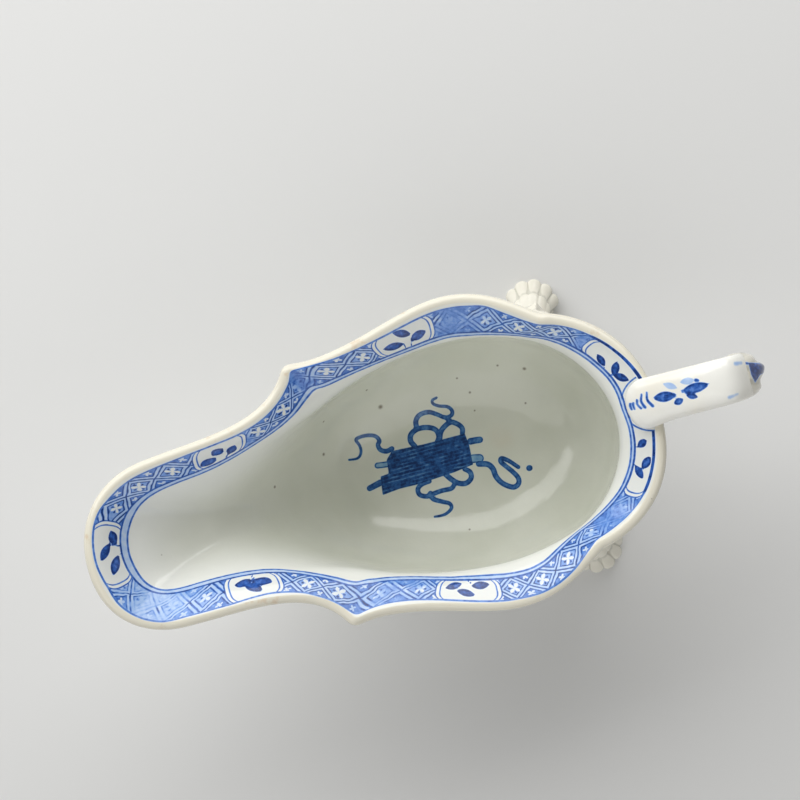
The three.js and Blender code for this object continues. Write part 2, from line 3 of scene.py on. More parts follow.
import bpy
import numpy as np
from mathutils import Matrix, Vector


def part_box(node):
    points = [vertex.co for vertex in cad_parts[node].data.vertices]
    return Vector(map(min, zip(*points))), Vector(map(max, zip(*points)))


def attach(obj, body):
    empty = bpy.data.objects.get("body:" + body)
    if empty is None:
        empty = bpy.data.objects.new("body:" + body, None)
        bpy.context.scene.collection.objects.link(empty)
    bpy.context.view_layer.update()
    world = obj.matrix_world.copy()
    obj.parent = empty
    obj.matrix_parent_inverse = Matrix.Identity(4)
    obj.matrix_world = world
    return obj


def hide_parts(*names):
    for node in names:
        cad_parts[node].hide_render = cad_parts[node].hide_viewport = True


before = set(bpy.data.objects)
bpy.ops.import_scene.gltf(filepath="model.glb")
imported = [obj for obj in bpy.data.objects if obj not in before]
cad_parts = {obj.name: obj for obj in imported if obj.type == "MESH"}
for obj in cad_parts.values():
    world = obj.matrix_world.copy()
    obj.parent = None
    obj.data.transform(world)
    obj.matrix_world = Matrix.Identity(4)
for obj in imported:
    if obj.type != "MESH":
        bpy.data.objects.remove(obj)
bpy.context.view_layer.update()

# Body.
# A porcelain shell pressed in a mould: a lobed rim flares out of an egg-shaped throat over a smooth
# well and runs out into the spout. Painted with cobalt on the raw body, then glazed all over, with
# the glaze thin and creamy on the lip. Lengths are in millimetres from the middle of the well.

WALL = 3.6
HALF = 280
COLUMNS = 2 * HALF
UP = np.array([0, 0, 1.0])

# Rim seen from above and from the side, from the spout tip along one side to the back. Each
# station: x, y, z, the heading and share it is reached with, the ones it is left with, its rise.
RIM = np.array([
    [-106.1, 0.0, 86.0, 0, 0.00, 90, 0.48, 0],
    [-86.0, 24.1, 84.0, 6.5, 0.34, 6.5, 0.40, 0],
    [-37.3, 39.0, 78.5, 61, 0.36, -14, 0.29, 4],
    [10.9, 47.1, 73.0, 3, 0.29, 3, 0.41, 0],
    [41.2, 34.4, 76.5, -36.5, 0.33, -14.5, 0.33, 2],
    [65.8, 0.0, 81.0, -90, 0.51, 0, 0.00, 0],
])
# The throat inside it: how far in along x and y, how far down, then the same headings and shares
THROAT = np.array([
    [14.4, 0.0, 10.5, 0, 0.00, 90, 0.47, 0],
    [9.2, 11.5, 10.5, 6.5, 0.38, 6.5, 0.33, 0],
    [12.2, 12.2, 15.0, 25, 0.34, 22, 0.31, 0],
    [0.0, 13.1, 13.0, 0, 0.34, 0, 0.35, 0],
    [-7.14, 5.1, 14.0, -22, 0.30, -22, 0.30, 0],
    [-12.2, 0.0, 13.0, -90, 0.39, 0, 0.00, 0],
])
# Angle above level at which the wall passes the throat, and at which it reaches the lip
THROAT_ANGLES = np.array([31, 50, 92, 99, 97, 97])
LIP_ANGLES = np.array([30, 34, 36, 38, 50, 44])

# Keel line: the floor of the well, the ramp that climbs from it, and the flatter run of the spout
FLOOR_HEIGHT = 21
RAMP_START, RAMP_SLOPE, RAMP_BEND = 31, 1.3, 12
SPOUT_START, SPOUT_SLOPE, SPOUT_BEND = 59, 0.5, 14
# How far out to the throat the keel line reaches: a share at the back, and so much more at the spout
KEEL_SHARE, KEEL_SHARE_GAIN = 0.54, 0.31
# How far the kiln bowed the body to one side, at a span from its straightest place
BOW, BOW_MIDDLE, BOW_SPAN = 2.1, -15, 75


def bezier(a, b, c, d, t):
    """Cubic curve from a to d: a(1-t)^3 + 3b t(1-t)^2 + 3c t^2(1-t) + d t^3."""
    return a * (1 - t) ** 3 + 3 * b * t * (1 - t) ** 2 + 3 * c * t ** 2 * (1 - t) + d * t ** 3


def smooth(t):
    """From 0 to 1 with level ends: 3t^2 - 2t^3."""
    return t * t * (3 - 2 * t)


def heading(degrees):
    """Level unit vector at an angle from +X."""
    turn = math.radians(degrees)
    return np.array([math.cos(turn), math.sin(turn), 0.0])


def station_line(stations, steps):
    """Half of a ring: a cubic between each two stations, its handles a share of the stretch long,
    turned to the headings, and sunk by the station's rise so that it comes to a point."""
    parts = []
    for low, high in zip(stations[:-1], stations[1:]):
        length = np.hypot(*(high[:2] - low[:2]))
        leaving = low[:3] + heading(low[5]) * low[6] * length - UP * low[7]
        arriving = high[:3] - heading(high[3]) * high[4] * length - UP * high[7]
        t = np.linspace(0, 1, steps, endpoint=False)[:, None]
        parts.append(bezier(low[:3], leaving, arriving, high[:3], t))
    return np.vstack(parts + [stations[-1:, :3]])


def eased(values, steps):
    """Values at the stations, going smoothly from one to the next."""
    t = smooth(np.linspace(0, 1, steps, endpoint=False))
    parts = [low + (high - low) * t for low, high in zip(values[:-1], values[1:])]
    return np.concatenate(parts + [values[-1:]]).astype(float)


def even_half(line, field, count):
    """A field read off at places that lie evenly along a line."""
    run = np.concatenate([[0], np.cumsum(np.linalg.norm(np.diff(line, axis=0), axis=1))])
    at = np.linspace(0, run[-1], count)
    if field.ndim == 1:
        return np.interp(at, run, field)
    return np.stack([np.interp(at, run, field[:, k]) for k in range(field.shape[1])], axis=1)


def full_round(half):
    """Both halves of a ring: out along the +Y side and home along the -Y side."""
    home = half[-2:0:-1].copy()
    if half.ndim == 2:
        home[:, 1] *= -1
    return np.concatenate([half, home])


def softened(ring, spread):
    """A ring of values averaged with its neighbours by a bell curve, as clay rounds a point."""
    reach = int(4 * spread) + 1
    weights = np.exp(-0.5 * (np.arange(-reach, reach + 1) / spread) ** 2)
    weights /= weights.sum()
    return sum(w * np.roll(ring, k, axis=0) for k, w in zip(range(-reach, reach + 1), weights))


def soft_rise(run, bend):
    """0 before a bend, then run: half of run + sqrt(run^2 + bend^2)."""
    return (run + np.hypot(run, bend)) / 2


def keel_height(x):
    """Height of the keel line: level in the well, up the ramp, then flatter along the spout."""
    ramp = RAMP_SLOPE * soft_rise(-RAMP_START - x, RAMP_BEND)
    return FLOOR_HEIGHT + ramp - (RAMP_SLOPE - SPOUT_SLOPE) * soft_rise(-SPOUT_START - x, SPOUT_BEND)


def unit(vectors):
    """Vectors divided by their lengths."""
    return vectors / np.maximum(np.linalg.norm(vectors, axis=-1, keepdims=True), 1e-9)


FINE = 240
rim_half = station_line(RIM, FINE)
throat_stations = THROAT.copy()
throat_stations[:, :3] = RIM[:, :3] + THROAT[:, :3] * [1, -1, -1]
throat_half = station_line(throat_stations, FINE)


def ring_of(field, spread):
    """A field given along half of the rim, spread evenly over all columns and softened."""
    return softened(full_round(even_half(rim_half, field, HALF + 1)), spread)


rim = ring_of(rim_half, 1.1)
throat = ring_of(throat_half, 4)
throat_angle = np.radians(ring_of(eased(THROAT_ANGLES, FINE), 4))[:, None]
lip_angle = np.radians(ring_of(eased(LIP_ANGLES, FINE), 4))[:, None]
keel_share = KEEL_SHARE + KEEL_SHARE_GAIN * smooth(np.clip((25 - throat[:, 0]) / 50, 0, 1))
keel_x = throat[:, 0] * keel_share
keel = np.stack([keel_x, np.zeros(COLUMNS), keel_height(keel_x)], axis=1)
LEVEL = np.array([1.0, 1.0, 0])
across = unit((rim - throat) * LEVEL)
lip = rim - across * WALL * (1 + np.sin(lip_angle)) / 2
outward = (throat - keel) * LEVEL
steep = 1 - np.maximum(0, np.cos(throat_angle)) / math.cos(math.radians(THROAT_ANGLES[0]))
span = np.linalg.norm(throat - keel, axis=1)[:, None]
# The wall leaves the keel level and comes up to the throat at its angle; a steep wall bends harder
level = keel + outward * (0.36 + 0.5 * steep)
level[:, 2] = keel_height(level[:, 0])
climb = unit(outward) * np.cos(throat_angle) + UP * np.sin(throat_angle)
wall = throat - climb * (0.34 + 0.24 * steep) * span
flare_span = np.linalg.norm(lip - throat, axis=1)[:, None]
flare_low = throat + climb * 0.42 * flare_span
flare_high = lip - (across * np.cos(lip_angle) + UP * np.sin(lip_angle)) * 0.4 * flare_span

# Rows run from the keel up to the throat, close together where the well is painted, and on to the lip
bowl_t = np.concatenate([np.linspace(0, 0.31, 46, endpoint=False), np.linspace(0.31, 1, 27)])
flare_t = np.linspace(0, 1, 29)[1:]
inner = np.concatenate([
    np.stack([bezier(keel, level, wall, throat, t) for t in bowl_t]),
    np.stack([bezier(throat, flare_low, flare_high, lip, t) for t in flare_t]),
])
# The rows at the bend of the throat were sponged soft
BEND_START, BEND_END, SPONGE_STROKES = 60, 90, 6
for stroke in range(SPONGE_STROKES):
    below, here, above = (inner[BEND_START + k:BEND_END + k] for k in (-1, 0, 1))
    inner[BEND_START:BEND_END] = (below + 2 * here + above) / 4
inner[:, :, 1] -= BOW * ((inner[:, :, 0] - BOW_MIDDLE) / BOW_SPAN) ** 2
ROWS = len(inner)
along_ring = np.roll(inner, -1, axis=1) - np.roll(inner, 1, axis=1)
facing = unit(np.cross(np.gradient(inner, axis=0), along_ring))
keel_slope = (keel_height(keel_x + 0.01) - keel_height(keel_x - 0.01)) / 0.02
facing[0] = unit(np.stack([keel_slope, np.zeros(COLUMNS), -np.ones(COLUMNS)], axis=1))

# The lip is half a circle from the inner to the outer surface
LIP_STEPS = 10
turns = np.linspace(0, math.pi, LIP_STEPS + 1)[1:-1, None, None]
lip_heading = inner[-1] - inner[-2]
lip_heading = unit(lip_heading - facing[-1] * np.sum(lip_heading * facing[-1], axis=1, keepdims=True))
lip_rows = inner[-1] + WALL / 2 * (facing[-1] * (1 - np.cos(turns)) + lip_heading * np.sin(turns))
# The outside has fewer rows, because its painting is coarser
outer_rows = np.concatenate([np.arange(ROWS - 1, 72, -2), np.arange(71, 45, -1), np.arange(45, 0, -5), [0]])
outer = (inner + facing * WALL)[outer_rows]
body_grid = np.concatenate([inner, lip_rows, outer])
LAST = len(body_grid) - 1


def shared_numbers(rows, columns, folded):
    """Vertex numbers of a grid; on folded rows the columns meet in pairs, c with columns - c."""
    numbers = np.arange(rows * columns).reshape(rows, columns)
    c = np.arange(columns)
    for row in folded:
        numbers[row] = row * columns + np.minimum(c, columns - c)
    used, packed = np.unique(numbers, return_inverse=True)
    return used, packed.reshape(rows, columns)


def quads_of(numbers):
    """Faces between neighbouring rows and columns of vertex numbers, the last column meeting the first."""
    after = np.roll(numbers, -1, axis=1)
    quads = np.stack([numbers[:-1], after[:-1], after[1:], numbers[1:]], axis=-1)
    return quads.reshape(-1, 4)


def placed(points):
    """Millimetres from the middle of the well become metres in the CAD's frame."""
    return (points + well_place) * 0.001


def signed_volume(points, faces):
    """Volume inside the faces, below zero where they are inside out."""
    a, b, c, d = (points[faces[:, k]] for k in range(4))
    return np.sum(np.cross(b - a, c - a) * a) + np.sum(np.cross(c - a, d - a) * a)


def thrown(name, points, faces, fields, corner_maps):
    """A smooth mesh object from arrays: points in mm, four-cornered faces (the last two corners may be
    one), values at the points, and maps at the corners of the faces."""
    if signed_volume(points, faces) < 0:
        faces = faces[:, ::-1]
        corner_maps = {key: value[:, ::-1] for key, value in corner_maps.items()}
    keep = faces != np.roll(faces, 1, axis=1)
    counts = keep.sum(axis=1)
    mesh = bpy.data.meshes.new(name)
    mesh.vertices.add(len(points))
    mesh.vertices.foreach_set("co", placed(points).astype(np.float32).ravel())
    mesh.loops.add(int(counts.sum()))
    mesh.loops.foreach_set("vertex_index", faces[keep].astype(np.int32))
    mesh.polygons.add(len(faces))
    starts = np.concatenate([[0], np.cumsum(counts)[:-1]])
    mesh.polygons.foreach_set("loop_start", starts.astype(np.int32))
    mesh.polygons.foreach_set("use_smooth", np.ones(len(faces), dtype=bool))
    mesh.update(calc_edges=True)
    for key, values in fields.items():
        field = mesh.attributes.new(key, "FLOAT", "POINT")
        field.data.foreach_set("value", values.astype(np.float32))
    for key, values in corner_maps.items():
        layer = mesh.uv_layers.new(name=key)
        layer.data.foreach_set("uv", values[keep].astype(np.float32).ravel())
    made = bpy.data.objects.new(name, mesh)
    bpy.context.scene.collection.objects.link(made)
    return made


# The middle of the well in the CAD's frame, from the lowest corner of its body
body_low = np.array([*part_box("body")[0][:2], 0]) * 1000
well_place = body_low - [body_grid[..., 0].min(), body_grid[..., 1].min(), 0]

# Run of the lip's inner edge from the spout tip round the +Y side, and the distance below that edge;
# on the lip and outside, the distance goes on below zero
edge_steps = np.linalg.norm(np.diff(inner[-1], axis=0, append=inner[-1][:1]), axis=1)
run = np.concatenate([[0], np.cumsum(edge_steps)])
AROUND = run[-1]
down_steps = np.linalg.norm(np.diff(body_grid, axis=0), axis=2)
down_all = np.concatenate([np.zeros((1, COLUMNS)), np.cumsum(down_steps, axis=0)])
depth = down_all[ROWS - 1] - down_all

# Painted lines of the band, by place along the lip's inner edge: how far below that edge lie the line at
# the lip, the end of the trellis, and the innermost line
BAND = np.array([
    [0, 0.3, 10.1, 12.7], [6, 0.1, 10.0, 12.6], [12, -0.1, 9.7, 12.5], [17, 0.1, 9.3, 12.1],
    [21, 0.9, 9.2, 11.4], [26, 1.0, 9.1, 11.0], [32, 1.0, 8.9, 10.6], [38, 0.8, 8.9, 10.6],
    [44, 0.7, 9.2, 11.0], [50, 0.5, 9.2, 10.8], [56, 0.5, 8.5, 10.0], [62, 0.8, 7.4, 8.9],
    [68, 1.0, 6.8, 8.2], [76, 0.9, 6.6, 8.0], [82, 0.8, 6.5, 8.2], [85.8, 0.9, 7.2, 9.3],
    [88.3, -0.6, 9.3, 10.9], [92, -1.0, 8.5, 10.2], [96, -0.9, 7.9, 9.4], [101, -0.4, 7.5, 8.9],
    [107, 0.0, 7.6, 9.0], [113, 0.4, 8.2, 9.6], [119, 0.8, 9.0, 10.6], [125, 1.0, 9.8, 11.4],
    [131, 1.1, 10.2, 11.8], [138, 1.2, 10.5, 12.0], [144, 1.1, 10.8, 12.4], [149, 0.4, 10.3, 11.9],
    [154, 1.2, 9.5, 11.1], [160, 1.3, 8.2, 9.6], [164, 1.0, 7.4, 8.6], [170, 0.2, 6.9, 8.2],
    [176, 0.2, 7.2, 8.6], [182, 0.4, 7.6, 9.0], [190, 0.0, 7.8, 9.1], [196, -0.6, 7.4, 8.7],
    [201, -1.0, 7.4, 8.8], [208, -0.5, 8.2, 9.6], [214, 0.4, 7.7, 9.0], [220, 0.9, 7.6, 8.9],
    [229, 1.2, 7.9, 9.2], [236, 1.2, 8.2, 9.5], [242, 1.2, 8.8, 10.1], [248, 1.2, 9.2, 10.7],
    [254, 0.7, 8.9, 10.6], [260, -0.1, 8.4, 10.0], [266, -0.8, 7.8, 9.2], [272, -0.9, 7.0, 8.3],
    [278, -0.6, 7.1, 8.5], [284, 0.0, 7.6, 9.1], [291, 0.1, 7.9, 9.6], [299, 0.3, 8.0, 9.6],
    [306, 0.6, 8.1, 9.5], [312, 1.0, 8.7, 10.2], [318, 1.4, 9.7, 11.5], [324, 1.7, 11.0, 12.8],
    [330, 1.6, 12.4, 14.2], [333.2, 1.2, 13.0, 14.9], [335.5, 0.3, 11.0, 13.0], [338, 0.2, 8.0, 9.6],
    [341, 0.1, 6.9, 8.4], [346, 0.1, 6.8, 8.2], [351, 0.7, 7.5, 9.0], [356, 1.0, 9.1, 10.7],
    [361, 1.3, 10.7, 12.5], [366, 1.0, 11.7, 13.6], [372, 0.5, 12.1, 13.9], [379, 0.5, 12.0, 13.9],
    [386, 0.4, 11.4, 13.5], [392, -0.2, 10.9, 12.8], [399, 0.1, 10.3, 11.8], [406, 0.4, 10.3, 12.2],
    [412, 1.1, 10.4, 12.8], [417, 0.6, 10.2, 12.8],
])
# Leaf panels: where each starts and ends half way down the band, and how far its foot is shifted
PANELS = [
    (411.5, 431.2, -0.8), (47.2, 61.8, -4.6), (113, 131.2, 0), (183.7, 236.2, 0), (290.8, 309, 0),
    (360, 374.6, 5.5),
]
PANEL_CURVE = 1.9
# Middles of the trellis diamonds, counted on under the panels too
FLOWERS = [
    18.2, 28, 39.5, 50, 58.8, 67, 77, 85, 95.4, 107.4, 117, 127, 137.5, 150, 161, 172.2, 182, 192, 202,
    212, 222, 232, 242.2, 254, 265.7, 276, 285.4, 295, 305, 315.5, 329.3, 341.5, 351, 361, 371, 381.6,
    392, 401.8, 411, 420,
]


def round_values(places, values, at):
    """Values known at places round the lip, read at others, running on past the start."""
    return np.interp(at, places, values, period=AROUND)


columns_run = run[:-1]
lip_line, trellis_end, inner_line = (
    softened(round_values(BAND[:, 0], BAND[:, k], columns_run), 1.2) for k in (1, 2, 3)
)
share_down = (depth - lip_line) / (trellis_end - lip_line)

flower_run = np.array([FLOWERS[-1] - AROUND] + FLOWERS + [FLOWERS[0] + AROUND])
flower_count = np.arange(len(flower_run)) - 0.5
cells = np.interp(run, flower_run, flower_count)
pitch = softened(1 / np.maximum(np.gradient(cells[:-1], columns_run), 1e-3), 3)


def panel_field(start, end, shift):
    """How far inside a panel a point is: the nearer end's distance, less a curve towards the lines; the
    panel's middle moves by the shift from the top of the band to its foot."""
    middle = (start + end) / 2 + shift * (share_down - 0.5)
    from_middle = np.abs((columns_run - middle + AROUND / 2) % AROUND - AROUND / 2)
    return (end - start) / 2 - from_middle - PANEL_CURVE * np.abs(2 * share_down - 1) ** 3.4


in_panel = np.max([panel_field(*row) for row in PANELS], axis=0)

# Leaves of the panels by run along the lip and depth below it, both ends and the width, and their stems,
# by places along them and the widths at both ends
PANEL_LEAVES = [
    (-4.3, 4.4, 1.2, 8.6, 3.0), (1.2, 2.0, 5.8, 5.8, 2.6), (5.0, 8.2, 10.1, 5.8, 2.9),
    (46.5, 7.5, 52.1, 6.0, 2.9), (52.0, 4.6, 56.1, 3.2, 2.7), (55.6, 6.9, 59.3, 4.2, 2.3),
    (114.4, 4.9, 121.2, 6.7, 2.5), (119.8, 1.3, 124.6, 4.9, 2.3), (123.9, 6.7, 129.6, 6.2, 2.9),
    (187.5, 5.1, 191.8, 6.7, 2.0), (193.0, 2.2, 195.8, 6.5, 2.2), (195.7, 6.3, 199.6, 2.9, 2.3),
    (219.0, 3.4, 221.5, 6.5, 2.1), (224.2, 2.2, 228.2, 4.6, 2.4), (227.7, 7.0, 231.2, 3.5, 2.0),
    (292.8, 6.1, 298.6, 5.5, 2.5), (297.8, 2.3, 303.4, 4.0, 2.1), (301.9, 6.4, 307.2, 4.9, 2.3),
    (361.9, 5.8, 368.6, 8.7, 3.2), (363.8, 2.8, 370.4, 7.6, 2.3), (368.4, 8.2, 373.6, 8.2, 3.2),
]
PANEL_STEMS = [
    ([(0.8, 8.3), (1.2, 9.2), (1.4, 10.0)], 0.5, 0.4), ([(5.6, 5.6), (4.9, 7.6), (4.2, 9.8)], 0.4, 0.5),
    ([(51.0, 6.4), (51.8, 7.8), (51.9, 9.2)], 0.5, 0.4), ([(56.0, 6.4), (54.6, 7.6), (53.4, 9.0)], 0.4, 0.5),
    ([(121.0, 6.6), (121.2, 7.6), (121.1, 8.8)], 0.5, 0.4),
    ([(124.4, 6.4), (123.7, 8.0), (123.2, 9.4)], 0.5, 0.4),
    ([(191.0, 6.3), (192.0, 6.9), (192.4, 7.6)], 0.4, 0.3),
    ([(195.7, 6.2), (195.5, 7.0), (195.3, 7.8)], 0.6, 0.5),
    ([(221.3, 6.1), (221.6, 6.9), (221.7, 7.7)], 0.4, 0.3),
    ([(228.0, 6.4), (227.6, 7.2), (227.4, 8.0)], 0.5, 0.4),
    ([(298.6, 6.4), (299.4, 7.2), (299.8, 8.0)], 0.5, 0.5),
    ([(367.8, 9.0), (368.8, 10.2), (369.4, 11.6)], 0.6, 0.4),
]


def leaf_field(x, y, leaves):
    """How far inside the nearest leaf a point is: half its width times 1 - (along / half length)^2,
    less the distance from its middle line."""
    best = np.full(np.shape(x), -9.0)
    for ax, ay, bx, by, width in leaves:
        length = math.hypot(bx - ax, by - ay)
        dx, dy = (bx - ax) / length, (by - ay) / length
        along = ((x - (ax + bx) / 2) * dx + (y - (ay + by) / 2) * dy) / (length / 2)
        aside = np.abs((y - ay) * dx - (x - ax) * dy)
        best = np.maximum(best, np.maximum(width / 2 * (1 - along ** 2) - aside, -9))
    return best


# The scroll bundle and its ribbons in the well: middle lines in plan, and their widths at both ends
RIBBONS = [
    ([(-12.9, 6.6), (-14.7, 6.3), (-16.4, 7.2), (-16.8, 8.9), (-16.0, 10.1), (-16.9, 11.8), (-19.3, 12.7),
      (-22.2, 12.7), (-23.0, 12.1), (-22.4, 10.3), (-22.4, 8.4), (-23.3, 6.9), (-24.6, 6.5),
      (-26.7, 6.8)], 1.57, 0.62),
    ([(-5.7, 5.3), (-6.6, 7.5), (-5.8, 9.5), (-3.3, 10.5), (-0.0, 10.0), (2.0, 8.6), (2.3, 6.4),
      (1.2, 4.7)], 1.69, 1.51),
    ([(-3.7, 10.6), (-3.4, 13.0), (-1.7, 14.6), (1.2, 14.7), (3.6, 13.3), (5.8, 11.7), (7.9, 11.9),
      (8.4, 13.3), (7.3, 14.8), (4.9, 15.7), (3.3, 16.8), (3.3, 18.0), (4.8, 18.4)], 1.64, 0.75),
    ([(2.2, 5.1), (3.3, 7.7), (5.2, 9.2), (7.3, 9.8), (9.3, 8.4), (10.1, 6.9), (9.7, 5.4)], 1.64, 1.51),
    ([(5.8, 11.8), (6.5, 10.8), (7.3, 9.8)], 1.30, 1.25),
    ([(12.2, -5.1), (14.9, -6.0), (16.1, -7.8), (16.4, -10.4), (17.9, -13.0), (20.6, -14.9), (22.5, -14.4),
      (23.0, -12.6), (21.8, -10.2), (20.2, -8.0), (19.0, -6.2), (19.6, -5.3), (21.4, -6.5),
      (23.9, -9.3)], 1.81, 1.25),
    ([(1.2, -5.4), (2.6, -7.5), (4.5, -9.3), (6.8, -9.9), (8.7, -8.8), (8.9, -6.9), (7.5, -5.5)], 1.69, 1.51),
    ([(-4.2, -6.3), (-6.7, -6.6), (-8.3, -7.7), (-8.2, -9.6), (-6.1, -10.7), (-3.8, -10.4), (-1.1, -10.2),
      (1.9, -10.3), (3.1, -9.3)], 1.46, 1.40),
    ([(-4.9, -10.1), (-4.4, -12.0), (-2.0, -13.5), (0.1, -14.7), (0.3, -16.2), (-1.6, -17.4), (-3.6, -17.6),
      (-5.5, -17.4)], 1.64, 0.62),
    ([(-22.8, -3.5), (-20.9, -3.1), (-19.1, -2.7)], 1.81, 1.98),
    ([(11.5, 2.4), (13.0, 2.3), (14.5, 2.1)], 2.05, 1.98),
    ([(27.1, -10.5), (27.2, -10.5), (27.3, -10.5)], 1.8, 1.75),
]
BUNDLE = np.array([
    (-13.1, 5.9), (-2.8, 5.3), (10.4, 5.2), (10.8, 1.4), (10.4, -4.8), (4.1, -5.6), (-7.8, -6.3),
    (-13.7, -6.1), (-19.4, -6.6), (-18.6, -0.9), (-15.8, -0.7), (-15.4, 3.6),
])
SCROLL_ENDS = [
    ([(-18.6, 2.7), (-17.3, 2.5), (-15.7, 2.3)], 1.9, 1.9),
    ([(10.3, -3.0), (11.6, -3.2), (12.9, -3.5)], 2.7, 2.7),
]


def flowing(points, count):
    """A smooth line through points: between each two, a cubic whose ends lean along their neighbours."""
    p = np.array(points, dtype=float)
    p = np.vstack([2 * p[0] - p[1], p, 2 * p[-1] - p[-2]])
    t = np.linspace(0, 1, count, endpoint=False)[:, None]
    parts = []
    for a, b, c, d in zip(p[:-3], p[1:-2], p[2:-1], p[3:]):
        parts.append(bezier(b, b + (c - a) / 6, c - (d - b) / 6, c, t))
    return np.vstack(parts + [p[-2:-1]])


def stroke_field(x, y, strokes):
    """How far inside the nearest brush stroke a point is: half its width there less the distance."""
    best = np.full(x.shape, -9.0)
    for points, start_width, end_width in strokes:
        line = flowing(points, 10)
        half = np.linspace(start_width, end_width, len(line)) / 2
        away = np.hypot(x[..., None] - line[:, 0], y[..., None] - line[:, 1])
        best = np.maximum(best, np.max(half - away, axis=-1))
    return best


def patch_field(x, y, corners):
    """How far inside a many-sided patch a point is: the distance to its nearest side, below zero outside."""
    nearest = np.full(x.shape, 1e9)
    inside = np.zeros(x.shape, dtype=bool)
    for (ax, ay), (bx, by) in zip(corners, np.roll(corners, -1, axis=0)):
        ex, ey = bx - ax, by - ay
        share = np.clip(((x - ax) * ex + (y - ay) * ey) / (ex * ex + ey * ey), 0, 1)
        nearest = np.minimum(nearest, np.hypot(x - ax - share * ex, y - ay - share * ey))
        crosses = (ay > y) != (by > y)
        inside ^= crosses & (x < ax + (y - ay) / np.where(ey == 0, 1e-9, ey) * ex)
    return np.where(inside, nearest, -nearest)


def on_inside(field, rows, empty):
    """A field of the inner rows, with an empty value on all other rows of the body."""
    whole = np.full(body_grid.shape[:2], float(empty))
    whole[rows] = field
    return whole


# The rows that carry the painting of the well, and those that carry the band
well_rows = slice(0, 48)
flare_rows = slice(66, ROWS)
well_x, well_y = inner[well_rows, :, 0], inner[well_rows, :, 1]
flare_x, flare_y = inner[flare_rows, :, 0], inner[flare_rows, :, 1]

# The painted line round the root of the handle: half a circle, running straight on towards the lip
ROOT_FRONT, ROOT_ASIDE, ROOT_REACH = 63.9, 1.2, 8.4
root_away = np.hypot(np.minimum(flare_x - ROOT_FRONT, 0), flare_y - ROOT_ASIDE) - ROOT_REACH

flare_depth = depth[flare_rows]
flare_run = np.broadcast_to(columns_run, flare_depth.shape)
# The panel's first leaf starts before the spout tip, so it is drawn again at the far end of the run
panel_marks = np.max([
    leaf_field(flare_run, flare_depth, PANEL_LEAVES),
    leaf_field(flare_run - AROUND, flare_depth, PANEL_LEAVES[:1]),
    stroke_field(flare_run, flare_depth, PANEL_STEMS) - 0.15,
], axis=0)

# Sprays on the outside of the +Y side, and again on the other: run along the lip, distance below it,
# and size. Each column reads its nearest spray, in that spray's own lengths u along and v below
SPRAYS = np.array([(54, -21, 1.0), (114, -27, 1.6), (172, -24, 1.0)])
spray_at = np.concatenate([SPRAYS[:, 0], AROUND - SPRAYS[:, 0]])
spray_down, spray_size = np.tile(SPRAYS[:, 1], 2), np.tile(SPRAYS[:, 2], 2)
spray_turn = np.repeat([1, -1], len(SPRAYS))
spray_away = ((columns_run[:, None] - spray_at) * spray_turn / spray_size).T
nearest_spray = np.abs(spray_away).argmin(axis=0)
outside_rows = slice(ROWS + LIP_STEPS - 1, None)
spray_u = np.take_along_axis(spray_away, nearest_spray[None], axis=0)[0]
spray_v = (depth[outside_rows] - spray_down[nearest_spray]) / spray_size[nearest_spray]

# Where the trellis ran in the kiln: place, reach, and how dark the run blue is
SMUDGES = np.array([
    (139, 9, 0.5), (324, 9, 0.42), (399, 15, 0.24), (180, 4, 0.5), (87, 3, 0.6), (62, 3, 0.45), (246, 8, 0.5),
])
# Elsewhere a smudge would be middling blue
PLAIN_SMUDGE, PLAIN_SHARE = 0.4, 0.02
smudge_shares = np.exp(-((columns_run - SMUDGES[:, :1]) / SMUDGES[:, 1:2]) ** 2)
smudged = smudge_shares.sum(axis=0)
smudge_load = (SMUDGES[:, 2] @ smudge_shares + PLAIN_SMUDGE * PLAIN_SHARE) / (smudged + PLAIN_SHARE)

# The line at the lip is heavy on both sides of the handle
HEAVY_MIDDLE, HEAVY_REACH, HEAVY_END = 208.5, 27, 0.4
heavy = 1 / (1 + np.exp((np.abs(columns_run - HEAVY_MIDDLE) - HEAVY_REACH) / HEAVY_END))

used, numbers = shared_numbers(LAST + 1, COLUMNS, (0, LAST))


def at_points(field):
    """A field of the grid, or of its columns alone, as one value for each vertex used."""
    return np.broadcast_to(field, body_grid.shape[:2]).reshape(-1)[used]


# The map of the trellis, by the corners of the faces: cells counted along, and the share of the band down
cell_corners = np.stack([cells[:-1], cells[1:], cells[1:], cells[:-1]], axis=-1)
band_rows = slice(0, ROWS + 5)
inside_share = on_inside(share_down[band_rows], band_rows, -1)
share_after = np.roll(inside_share, -1, axis=1)
share_corners = np.stack([inside_share[:-1], share_after[:-1], share_after[1:], inside_share[1:]], axis=-1)
cells_map = np.stack([np.broadcast_to(cell_corners, share_corners.shape), share_corners], axis=-1)

